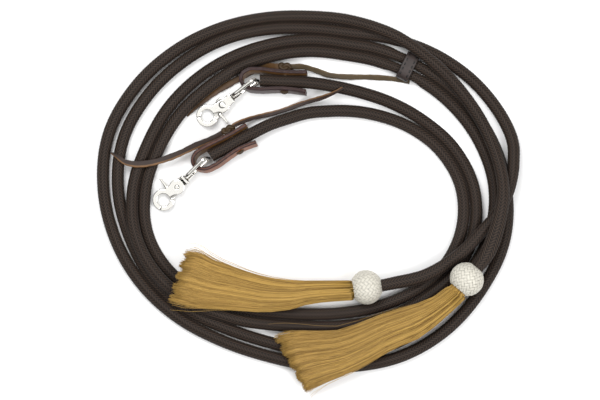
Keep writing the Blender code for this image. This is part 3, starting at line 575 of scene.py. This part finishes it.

# %% [markdown]
# ## The ties and their laces
# A thong goes through the strap and the rope and is knotted outside. The knot is a real overhand
# knot: a trefoil line drawn as a thick band. On the other side the thong shows as a short bight.
# The tails are flat laces that lie on the table and over the ropes.

# %% Knots
KNOT_SIZE = (5.2, 2.4, 2.3)
KNOT_OUT = 4.9
turn = np.linspace(0, 2 * np.pi, 96, endpoint=False)
trefoil = np.stack([(np.sin(turn) + 2 * np.sin(2 * turn)) / 2.75, -np.sin(3 * turn),
                    (np.cos(turn) - 2 * np.cos(2 * turn)) / 3.0], axis=1)
section = np.linspace(0, 2 * np.pi, 12, endpoint=False)
for number, bit in BIT_ENDS.items():
    place = (bit["crossbar"], axes(bit["yaw"]))
    outside = ROPE_R + ROPE_ROOM + STRAP_T
    knot = placed(trefoil * KNOT_SIZE + (bit["tie"], outside + KNOT_OUT, 0), *place)
    forward, side, rise = directions(knot, closed=True, up=unit(place[1][1] + 0.2 * UP))
    knot_rings = ring_of(knot, side, rise, 3.1 * MM * np.cos(section), 2.4 * MM * np.sin(section))
    bight = [(-3.8, 2.2, 0), (-2.6, 0.1, 0), (0, -0.9, 0), (2.6, 0.1, 0), (3.8, 2.2, 0)]
    bight = placed(smooth_line(np.array(bight) + (bit["tie"], -outside + 0.2, 0), 6), *place)
    forward, side, rise = directions(bight)
    bight_rings = ring_of(bight, side, rise, 2.1 * MM * np.cos(section), 3.8 * MM * np.sin(section))
    shank = placed([(bit["tie"], y, 0) for y in np.linspace(-outside, outside, 9)], *place)
    forward, side, rise = directions(shank)
    shank_rings = ring_of(shank, side, rise, 2.4 * MM * np.cos(section), 2.4 * MM * np.sin(section))
    skins = [(knot_rings[None], True, False), (bight_rings[None], False, True),
             (shank_rings[None], False, True)]
    grain_side = np.zeros(sum(points.size // 3 for points, _, _ in skins))
    make_piece(f"tie_knot_{number}", skins, [LATIGO["knot"]], "reins",
               {"flesh": grain_side, "edge": grain_side}, [f"leather_tie_{number}"])

# %% Laces
LACES = {
    "tie_lace_left_1": ("red", 6.9, [
        (-34.6, 133.2, 12.0), (-41, 133.8, 8.6), (-48, 133.2, 4.6), (-55, 131.0, 2.3), (-63.5, 127.6, 1.8),
        (-72.4, 122.5, 1.5), (-82.4, 117.0, 1.4), (-93.5, 110.8, 1.4), (-104.5, 104.2, 1.4),
        (-115.5, 96.5, 1.6), (-125.2, 87.4, 1.8), (-133, 79.0, 2.0)]),
    "tie_lace_right_1": ("olive", 5.8, [
        (-16.9, 133.0, 12.0), (-8, 133.4, 9.6), (0, 132.0, 6.2), (11, 128.6, 2.8), (24, 124.2, 2.2),
        (43, 122.4, 2.2), (63, 122.2, 2.1), (80, 121.4, 2.0), (92, 120.4, 1.8), (100, 119.2, 1.7),
        (106.5, 117.8, 1.7), (112, 116.4, 1.7)]),
    "tie_lace_left_2": ("dark", 7.2, [
        (-97.2, 57.6, 13.5), (-106, 53.4, 14.5), (-123, 46.4, 14.5), (-141, 37.8, 14.0), (-158, 31.3, 14.8),
        (-173, 27.4, 15.6), (-188, 26.0, 16.2), (-200, 28.2, 15.6), (-208, 33.4, 14.8), (-216, 38.8, 14.6)]),
    "tie_lace_right_2": ("dark", 5.2, [
        (-79.6, 69.6, 12.5), (-72, 73.0, 10.6), (-62, 76.6, 6.5), (-50, 79.6, 3.0), (-36, 83.0, 2.2),
        (-22, 87.4, 2.2), (-9, 92.3, 3.2), (3, 95.8, 5.8), (14, 98.8, 9.5), (23, 102.0, 13.8),
        (31, 105.6, 17.2), (38, 109.6, 18.4)]),
}
LACE_T = 2.2
LACE_START = 4.5
KNOT_MIDDLE = ROPE_R + STRAP_T + 4.5
POINT = {"tie_lace_left_1": 0.75, "tie_lace_right_1": 0.3, "tie_lace_left_2": 0.7, "tie_lace_right_2": 0.45}
CUT_SIDE = -1
for name, (kind, width, route) in LACES.items():
    bit = BIT_ENDS[int(name[-1])]
    knot = placed((bit["tie"], KNOT_MIDDLE, 0), bit["crossbar"], axes(bit["yaw"]))
    points = COIL_CENTRE + np.array(route) * MM
    to_knot = knot - points[0]
    start = points[0] + unit(to_knot) * min(LACE_START * MM, np.linalg.norm(to_knot) * 0.7)
    line, run = evenly(smooth_line([start, *points], 12), 0.7 * MM)
    forward, side, rise = directions(line)
    share = run / run[-1]
    taper = 1 - POINT[name] * np.clip((share - 0.8) / 0.2, 0, 1) ** 1.3
    uneven = 1 + 0.05 * np.sin(run / MM * 0.21 + width) + 0.03 * np.sin(run / MM * 0.63)
    roll = 0.16 * np.sin(run / MM * 0.045 + width)
    tilted_side = side * np.cos(roll)[:, None] + rise * np.sin(roll)[:, None]
    tilted_rise = rise * np.cos(roll)[:, None] - side * np.sin(roll)[:, None]
    across, high = rounded(width, LACE_T, 0.7, 4)
    scale = (taper * uneven)[:, None]
    rings = ring_of(line, tilted_side, tilted_rise, across * scale * MM, high * np.ones_like(scale) * MM)
    edge = (across * CUT_SIDE > width / 2 - width * 0.3) * np.ones_like(scale)
    flesh = (high < -0.3) * np.ones_like(scale)
    piece = make_piece(f"{name}_band", [(rings[None], False, True)], [LATIGO[kind]], "reins",
                       {"flesh": flesh, "edge": edge}, [name])

# %% [markdown]
# ## Finish: bright nickel plate
# The snaps are cast in zinc, tumbled smooth and plated with bright nickel. The plate mirrors the
# white tent, with a faint waviness from the casting, about 4 mm from crest to crest, and a breath of
# polish haze that changes the roughness a little from place to place. The colour is darkened as
# painted shade in the recesses and low on the sides, where other surfaces are within about 5 mm.

# %% Nickel
NICKEL, tree, shader = start_finish("bright nickel plate on cast zinc", Metallic=1.0)
spot = add_node(tree, "TexCoord")
wavy = add_node(tree, "TexNoise", {"Scale": 1 / (4 * MM), "Detail": 2.0},
                {"Vector": spot.outputs["Object"]})
haze = add_node(tree, "TexNoise", {"Scale": 1 / (1.2 * MM), "Detail": 5.0},
                {"Vector": spot.outputs["Object"]})
gloss = add_node(tree, "MapRange", {"From Min": 0.3, "From Max": 0.7, "To Min": 0.07, "To Max": 0.2},
                 {"Value": haze.outputs["Fac"]})
plate = add_node(tree, "Mix", {"data_type": "RGBA", 6: colour("#e6e4de"), 7: colour("#f6f4ee")},
                 {0: haze.outputs["Fac"]})
# Painted shade: the plate colour turns dark grey where other surfaces are near, in recesses, between parts
# and low on the sides.
reach = add_node(tree, "AmbientOcclusion", {"Distance": 5 * MM, "samples": 16})
painted_shade_mask = add_node(tree, "MapRange", {"From Min": 0.38, "From Max": 0.92}, {"Value": reach.outputs["AO"]})
painted_recess_shade = add_node(tree, "Mix", {"data_type": "RGBA", 6: colour("#2b2a26")},
                 {0: painted_shade_mask.outputs["Result"], 7: plate.outputs[2]})
bump = add_node(tree, "Bump", {"Strength": 0.12, "Distance": 0.2 * MM}, {"Height": wavy.outputs["Fac"]})
for source, socket in ((painted_recess_shade.outputs[2], "Base Color"), (gloss.outputs[0], "Roughness"),
                       (bump.outputs[0], "Normal")):
    tree.links.new(source, shader.inputs[socket])
print(NICKEL.name)

# %% [markdown]
# ## The snaps
# Castings have no sharp corners. Each solid of the snap is copied, turned into an even mesh of small
# cells and relaxed. The eye and the rivet are relaxed a little, the body and the trigger much more,
# until the ring melts into its plate as it does in a casting.

# %% Castings
CELL = 0.3 * MM
RELAX_ROUNDS = {"swivel_eye": 8, "snap_body": 70, "trigger_jaw": 70, "pivot_rivet": 5}


def casting(node, rounds):
    """A copy of a solid in even cells, relaxed a number of times, that takes its place."""
    solid = nodes[node]
    mesh = solid.data.copy()
    piece = bpy.data.objects.new(f"{node}_casting", mesh)
    bpy.context.scene.collection.objects.link(piece)
    remesh = piece.modifiers.new("even cells", "REMESH")
    remesh.mode, remesh.voxel_size, remesh.use_smooth_shade = "VOXEL", CELL, True
    relax = piece.modifiers.new("relax", "SMOOTH")
    relax.factor, relax.iterations = 0.5, rounds
    shown = piece.evaluated_get(bpy.context.evaluated_depsgraph_get())
    piece.data = bpy.data.meshes.new_from_object(shown)
    piece.modifiers.clear()
    piece.data.materials.clear()
    piece.data.materials.append(NICKEL)
    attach(piece, solid["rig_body"])
    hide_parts(node)
    print(piece.name, len(piece.data.polygons), "faces")


for number in (1, 2):
    for part, rounds in RELAX_ROUNDS.items():
        casting(f"{part}_{number}", rounds)

# %% [markdown]
# ## Finish: braided rawhide
# Rawhide is untanned, scraped skin: hard, slightly glossy and off-white, with grey flecks where the
# hair roots were. Where the strings dip under others, at their edges and on the shell between them,
# the colour is painted grey as painted shade.

# %% Rawhide
RAWHIDE, tree, shader = start_finish("rawhide string, scraped", Roughness=0.5)
spot = add_node(tree, "TexCoord")
crown = add_node(tree, "Attribute", {"attribute_name": "crown"})
fleck = add_node(tree, "TexNoise", {"Scale": 1 / (2.2 * MM), "Detail": 5.0, "Roughness": 0.7},
                 {"Vector": spot.outputs["Object"]})
spotty = add_node(tree, "MapRange", {"From Min": 0.52, "From Max": 0.7}, {"Value": fleck.outputs["Fac"]})
# Painted shade: the low places of the weave, the strings' edges and the inner shell are coloured darker
# grey.
body = add_node(tree, "Mix", {"data_type": "RGBA", 6: colour("#8a867b"), 7: colour("#d3cfc3")},
                {0: crown.outputs["Fac"]})
grey = add_node(tree, "Mix", {"data_type": "RGBA", 7: colour("#a5a298")},
                {0: spotty.outputs["Result"], 6: body.outputs[2]})
bump = add_node(tree, "Bump", {"Strength": 0.3, "Distance": 0.2 * MM}, {"Height": fleck.outputs["Fac"]})
tree.links.new(grey.outputs[2], shader.inputs["Base Color"])
tree.links.new(bump.outputs["Normal"], shader.inputs["Normal"])
print(RAWHIDE.name)

# %% [markdown]
# ## The buttons
# The button is worked from flat strings that run from one hole to the other, half of them winding
# left and half right. Each one goes over two others and then under two, so every string rises and
# dips by most of its own thickness and the floats step round the ball in a herringbone. The strings
# narrow towards the holes, where they crowd.

# %% Buttons
STRINGS = 28
WIND = 1.7
STRING_T = 0.9
STRING_W = 4.2
STRING_FILL = 0.92
STRING_RISE = 0.38
ROPE_HOLE_R, HAIR_HOLE_R = 7.0, 10.6
FULLER = (1.0, 1.05, 1.05)


def button(number):
    """A ball of strings woven over two and under two, on a plain inner shell."""
    hand = HAND_ENDS[number]
    turned = axes(hand["yaw"])
    start, stop = math.asin(ROPE_HOLE_R / BUTTON_R), math.pi - math.asin(HAIR_HOLE_R / BUTTON_R)
    share = np.linspace(0, 1, 90)
    polar = start + (stop - start) * share
    crossing = math.pi / (STRINGS * WIND)
    pull = WIND / (stop - start)
    spacing = 2 * np.pi * BUTTON_R * np.sin(polar) / STRINGS / np.hypot(1, pull * np.sin(polar))
    width = np.minimum(spacing * STRING_FILL, STRING_W)[:, None] / 2 * MM
    turn = np.linspace(0, 2 * np.pi, 14, endpoint=False)
    flat = np.sign(np.sin(turn)) * np.abs(np.sin(turn)) ** 0.6 * STRING_T / 2 * MM
    wide = np.sign(np.cos(turn)) * np.abs(np.cos(turn)) ** 0.7
    strands, painted_weave_shade = [], []
    for sense in (1, -1):
        for k in range(STRINGS):
            weave = np.sin(np.pi / 2 * (2 * k + sense * share / crossing + 0.5))
            lift = sense * np.clip(1.5 * weave, -1, 1)
            lift = lift * STRING_RISE
            around = 2 * np.pi * k / STRINGS + sense * WIND * share
            out = np.stack([-np.cos(polar), np.sin(polar) * np.cos(around),
                            np.sin(polar) * np.sin(around)], axis=1)
            middle = out * (BUTTON_R - STRING_T / 2 - STRING_RISE + lift)[:, None]
            line = placed(middle * FULLER, hand["centre"], turned)
            forward = unit(np.gradient(line, axis=0))
            outward = unit(line - hand["centre"])
            side = unit(np.cross(forward, outward))
            strands.append(ring_of(line, side, outward, width * wide, flat))
            # Painted shade values: low where a string dips under others and lower at its edges, which the
            # rawhide finish paints darker.
            height = (lift / STRING_RISE * 0.5 + 0.5)[:, None] * np.ones_like(wide)
            painted_weave_shade.append(np.clip(0.35 + 0.65 * height, 0, 1) * (0.75 + 0.25 * (np.abs(wide) < 0.8)))
    strands = np.array(strands)
    turn = np.linspace(0, 2 * np.pi, 48, endpoint=False)
    polar = np.linspace(start - 0.03, stop + 0.03, 30)
    inner = BUTTON_R - 2.0
    under = np.stack([np.repeat(-inner * np.cos(polar)[:, None], 48, axis=1),
                      inner * np.outer(np.sin(polar), np.cos(turn)),
                      inner * np.outer(np.sin(polar), np.sin(turn))], axis=-1)
    under = placed(under * FULLER, hand["centre"], turned)
    # The inner shell between the strings takes the darkest painted shade.
    painted_weave_shade = np.concatenate([np.array(painted_weave_shade).ravel(), np.full(under.size // 3, 0.05)])
    make_piece(f"rawhide_button_{number}", [(strands, False, True), (under[None], False, False)],
               [RAWHIDE], "reins", {"crown": painted_weave_shade}, [f"button_braid_{number}"])


button(1)
button(2)

# %% [markdown]
# ## Finish: horsehair
# Sorrel horsehair runs from straw to ginger brown. Each strand keeps its own shade, gets paler
# towards the tip, and shines along its length. A real hair is about 0.2 mm thick: too fine to show
# here, so the strands are drawn at two to three times that.

# %% Horsehair
HORSEHAIR, tree, shader = start_finish("horsehair, sorrel", Roughness=0.45)
shader.inputs["Specular IOR Level"].default_value = 0.35
tone = add_node(tree, "Attribute", {"attribute_name": "tone"})
run_out = add_node(tree, "Attribute", {"attribute_name": "along"})
deep = add_node(tree, "Mix", {"data_type": "RGBA", 6: colour("#5c4010"), 7: colour("#c6a053")},
                {0: tone.outputs["Fac"]})
pale = add_node(tree, "Mix", {"data_type": "RGBA", 7: colour("#cba566")}, {6: deep.outputs[2]})
share = add_node(tree, "Math", {"operation": "MULTIPLY", 1: 0.25}, {0: run_out.outputs["Fac"]})
tree.links.new(share.outputs[0], pale.inputs[0])
tree.links.new(pale.outputs[2], shader.inputs["Base Color"])
print(HORSEHAIR.name)

# %% [markdown]
# ## The tassels
# The hair leaves the button as a round bundle and falls into a flat fan. The fan's two sides, height
# and thickness are given at nine places. Each strand keeps its share of the width and depth all the
# way, drifts a little, and stops a little before or after its neighbours. A plain inner mass keeps
# light from passing through.

# %% Tassels
FANS = {
    1: [(151.0, -108.5, 171.0, -121.5, 28.5, 9.5), (131.0, -122.5, 149.0, -142.0, 26.0, 9.0),
        (101.5, -131.5, 123.5, -163.0, 23.5, 9.0), (77.0, -139.5, 92.5, -176.0, 21.0, 8.0),
        (56.5, -148.5, 66.0, -191.5, 20.0, 7.2), (29.5, -157.5, 40.5, -204.0, 19.3, 6.5),
        (2.0, -158.0, 20.0, -211.5, 18.8, 6.0), (-20.0, -159.5, 4.5, -218.0, 18.5, 5.5),
        (-32.0, -163.5, -2.0, -221.0, 18.3, 5.0)],
    2: [(45.5, -101.5, 47.5, -123.0, 18.3, 9.3), (5.5, -102.0, 5.5, -126.0, 17.5, 8.8),
        (-15.5, -102.0, -17.5, -132.5, 18.5, 8.0), (-44.0, -98.0, -46.0, -135.5, 20.0, 7.0),
        (-65.0, -92.5, -69.5, -134.0, 21.0, 6.5), (-84.5, -86.0, -90.0, -132.0, 22.5, 6.3),
        (-103.5, -79.5, -113.5, -130.5, 26.0, 6.0), (-119.0, -71.5, -132.0, -127.5, 29.0, 5.5),
        (-131.0, -70.5, -146.0, -123.5, 29.6, 5.0)],
}
HAIR_ROOT_R = 9.0
STRANDS = 6000
RINGS = 16
SHORT_SHARE, STRAY_SHARE = 0.14, 0.014
LOCKS = ((4.2, 0.3), (10.5, 0.5), (23, 0.5))


def fan(number):
    """Middle, half width and half depth of the hair along its length, as three rows of vectors."""
    hand = HAND_ENDS[number]
    forward, left, _ = axes(hand["yaw"])
    rows = []
    root = left * HAIR_ROOT_R * MM
    for along in (2.2, BUTTON_R - 1.0):
        middle = hand["centre"] + forward * along * MM
        rows.append(np.r_[middle - root, middle + root, HAIR_ROOT_R * MM])
    for x1, y1, x2, y2, height, depth in FANS[number]:
        rows.append(np.r_[COIL_CENTRE + np.array((x1, y1, height)) * MM,
                          COIL_CENTRE + np.array((x2, y2, height)) * MM, depth * MM])
    rows = smooth_line(rows, 8)
    return (rows[:, :3] + rows[:, 3:6]) / 2, (rows[:, 3:6] - rows[:, :3]) / 2, rows[:, 6]


def read_rows(rows, share):
    """Rows of a table read at shares of its length, and a little past its end."""
    place = np.clip(share, 0, 1.06) * (len(rows) - 1)
    low = np.minimum(place.astype(int), len(rows) - 2)
    part = (place - low).reshape(*place.shape, *[1] * (rows.ndim - 1))
    return rows[low] * (1 - part) + rows[low + 1] * part


def tassel(number):
    """One tassel: thin strands gathered into locks, and a plain mass inside them."""
    middle, reach, depth = fan(number)
    radius = np.sqrt(chance.uniform(0, 1, STRANDS)) ** 0.8
    angle = chance.uniform(0, 2 * np.pi, STRANDS)
    wide, deep = radius * np.cos(angle), radius * np.sin(angle)
    tuft = 0.022 * np.sin(wide * 13 + number) + 0.012 * np.sin(wide * 41 + deep * 5)
    short = (chance.uniform(0, 1, STRANDS) < SHORT_SHARE) * chance.uniform(0, 0.16, STRANDS)
    finish = 1.02 - np.abs(chance.normal(0, 0.032, STRANDS)) - short + tuft
    share = np.linspace(0, 1, RINGS)[None] * finish[:, None]
    drift = chance.normal(0, 0.055, (STRANDS, 2))[:, :, None] * share[:, None] ** 2
    beat = chance.uniform(4, 11, STRANDS)[:, None]
    sway = 0.03 * np.sin(share * beat + chance.uniform(0, 6.3, STRANDS)[:, None])
    is_stray = (chance.uniform(0, 1, STRANDS) < STRAY_SHARE)[:, None]
    stray = is_stray * chance.uniform(0.1, 0.5, (STRANDS, 1)) * share**2
    side = wide[:, None] + drift[:, 0] + sway * share + np.sign(wide)[:, None] * stray
    for locks, pull in LOCKS:
        wave = np.sin(2 * np.pi * locks * side + 3 * share + number)
        side = side - pull * share * wave / (2 * np.pi * locks)
    lock = 0.05 * np.cos(2 * np.pi * LOCKS[0][0] * side + 3 * share + number) * share
    high = deep[:, None] * 0.92 + drift[:, 1] * 0.4 + lock
    line = read_rows(middle, share) + read_rows(reach, share) * side[..., None]
    line[..., 2] += read_rows(depth, share) * np.clip(high, -1, 1.1)
    forward = unit(np.gradient(line, axis=1))
    across = unit(np.cross(forward, UP))
    rise = np.cross(across, forward)
    thick = chance.uniform(0.2, 0.34, STRANDS)[:, None, None, None]
    thick = thick * (1 - 0.45 * share[..., None, None] ** 2) * MM
    turn = np.array((0.5, 2.6, 4.7))
    rings = (line[:, :, None] + across[:, :, None] * np.cos(turn)[:, None] * thick
             + rise[:, :, None] * np.sin(turn)[:, None] * thick)
    turn = np.linspace(0, 2 * np.pi, 28, endpoint=False)
    mass = (middle[:, None] + reach[:, None] * np.cos(turn)[:, None] * 0.8
            + UP * (depth[:, None] * np.sin(turn) * 0.66)[..., None])[:-8]
    clump = np.sin(wide * 31 + 2) * np.sin(wide * 11.3 + 1) + 0.6 * np.sin(wide * 67)
    tone = np.clip(chance.normal(0.6, 0.26, STRANDS) + 0.2 * clump, 0, 1)
    inside = np.full(mass.size // 3, 0.2)
    values = {"tone": np.r_[np.repeat(tone, RINGS * 3), inside],
              "along": np.r_[np.repeat(share.ravel(), 3), inside]}
    make_piece(f"horsehair_{number}", [(rings, False, True), (mass[None], False, True)], [HORSEHAIR],
               "reins", values, [f"tassel_hair_{number}"])


tassel(1)
tassel(2)

# %% [markdown]
# ## The keeper
# A short band of leather holds two turns together and can slide on them. It is stitched along both
# edges with dark waxed thread. The band is swept round the two ropes, and each stitch is a short bow
# of thread, half sunk in the leather at its ends.

# %% Keeper
KEEPER_T = 2.4
KEEPER_W = 14.0
STITCH_PITCH = 5.4
STITCH_INSET = 2.8
STITCH_PROUD = 0.12
THREAD, tree, shader = start_finish("waxed linen thread, black", Roughness=0.5)
spot = add_node(tree, "TexCoord")
twist = add_node(tree, "TexWave", {"Scale": 1 / (1.4 * MM)}, {"Vector": spot.outputs["Object"]})
ply = add_node(tree, "Mix", {"data_type": "RGBA", 6: colour("#030202"), 7: colour("#0c0908")},
               {0: twist.outputs["Fac"]})
tree.links.new(ply.outputs[2], shader.inputs["Base Color"])

centre, slide = KEEPER_CENTRE.copy(), KEEPER_AXIS
low_corner, high_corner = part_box("rein_keeper")
centre[2] = (low_corner[2] + high_corner[2]) / 2
pair = []
for number in (1, 2):
    line = ropes[number]
    ahead = np.abs((line - centre) @ slide) < 1.0 * MM
    near = line[ahead]
    pair.append(near[np.argmin(np.linalg.norm(near - centre, axis=1))])
gap = pair[0] - pair[1]
gap -= slide * (gap @ slide)
out, spread = unit(gap), np.linalg.norm(gap) / 2
middle = (pair[0] + pair[1]) / 2
wall = (ROPE_R + ROPE_ROOM + KEEPER_T / 2) * MM
turn = np.linspace(-np.pi / 2, np.pi / 2, 24)
right = [middle + out * (spread + wall * math.cos(t)) + UP * wall * math.sin(t) for t in turn]
left = [middle - out * (spread + wall * math.cos(t)) - UP * wall * math.sin(t) for t in turn]
between = [middle + out * spread * s + UP * wall for s in np.linspace(0.85, -0.85, 8)]
below = [middle - out * spread * s - UP * wall for s in np.linspace(0.85, -0.85, 8)]
loop = np.array(right + between + left + below)
forward = unit(np.roll(loop, -1, axis=0) - np.roll(loop, 1, axis=0))
along = np.repeat(slide[None], len(loop), axis=0)
outward = unit(np.cross(forward, along))
if np.einsum("nk,nk->n", outward, loop - middle).sum() < 0:
    outward = -outward
across, high = rounded(KEEPER_W, KEEPER_T, 0.8, 4)
rings = ring_of(loop, along, outward, across * MM, high * MM)
flesh = (high < 0) * np.ones((len(loop), 1))
edge = (np.abs(across) > KEEPER_W / 2 - 0.6) * np.ones((len(loop), 1))
keeper_body = nodes["rein_keeper"]["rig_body"]
make_piece("keeper_band", [(rings[None], True, False)], [KEEPER_LEATHER], keeper_body,
           {"flesh": flesh, "edge": edge}, ["rein_keeper"])

run = np.r_[0, np.cumsum(np.linalg.norm(np.diff(loop, axis=0), axis=1))]
starts = np.arange(0.5 * STITCH_PITCH * MM, run[-1], STITCH_PITCH * MM)
stitches = []
turn = np.linspace(0, 2 * np.pi, 8, endpoint=False)
for row in (-1, 1):
    for start in starts:
        share = start + np.linspace(0, 0.5 * STITCH_PITCH * MM, 7)
        line = np.stack([np.interp(share, run, loop[:, k]) for k in range(3)], axis=1)
        normal = unit(np.stack([np.interp(share, run, outward[:, k]) for k in range(3)], axis=1))
        dip = np.sin(np.linspace(0, np.pi, 7)) ** 0.5 * 0.3 - 0.1
        line = line + normal * ((KEEPER_T / 2 + dip + STITCH_PROUD) * MM)[:, None]
        line = line + slide * row * (KEEPER_W / 2 - STITCH_INSET) * MM
        stitches.append(ring_of(line, np.repeat(slide[None], 7, axis=0), normal, 0.75 * MM * np.cos(turn),
                                0.5 * MM * np.sin(turn)))
make_piece("keeper_stitches", [(np.array(stitches), False, True)], [THREAD], keeper_body)

# %% [markdown]
# ## Hidden solids
# The springs, the wood cores and the whippings stay as solids of the frame. They are mostly out of
# sight, and still get a finish that suits them.


# %% Hidden solids
def plain_finish(name, first, second, scale, roughness, metallic=0.0):
    """Two colours mixed by a noise of the given scale."""
    material, tree, shader = start_finish(name, Roughness=roughness, Metallic=metallic)
    spot = add_node(tree, "TexCoord")
    noise = add_node(tree, "TexNoise", {"Scale": 1 / scale, "Detail": 4.0},
                     {"Vector": spot.outputs["Object"]})
    mix = add_node(tree, "Mix", {"data_type": "RGBA", 6: colour(first), 7: colour(second)},
                   {0: noise.outputs["Fac"]})
    tree.links.new(mix.outputs[2], shader.inputs["Base Color"])
    return material


STEEL = plain_finish("spring steel wire", "#8a8b8e", "#b4b5b8", 1 * MM, 0.3, 1.0)
BEECH = plain_finish("turned beech", "#a8794a", "#c39a68", 3 * MM, 0.6)
LINEN = plain_finish("waxed linen whipping", "#8c7a58", "#b09c74", 0.6 * MM, 0.6)
HIDDEN = {"trigger_spring": (STEEL, "spring_steel"), "button_core": (BEECH, "wood_core"),
          "tassel_binding": (LINEN, "thread")}
for kind, (finish, slot_name) in HIDDEN.items():
    for number in (1, 2):
        solid = nodes[f"{kind}_{number}"]
        solid.data.materials.clear()
        solid.data.materials.append(finish)
print("hidden solids finished")
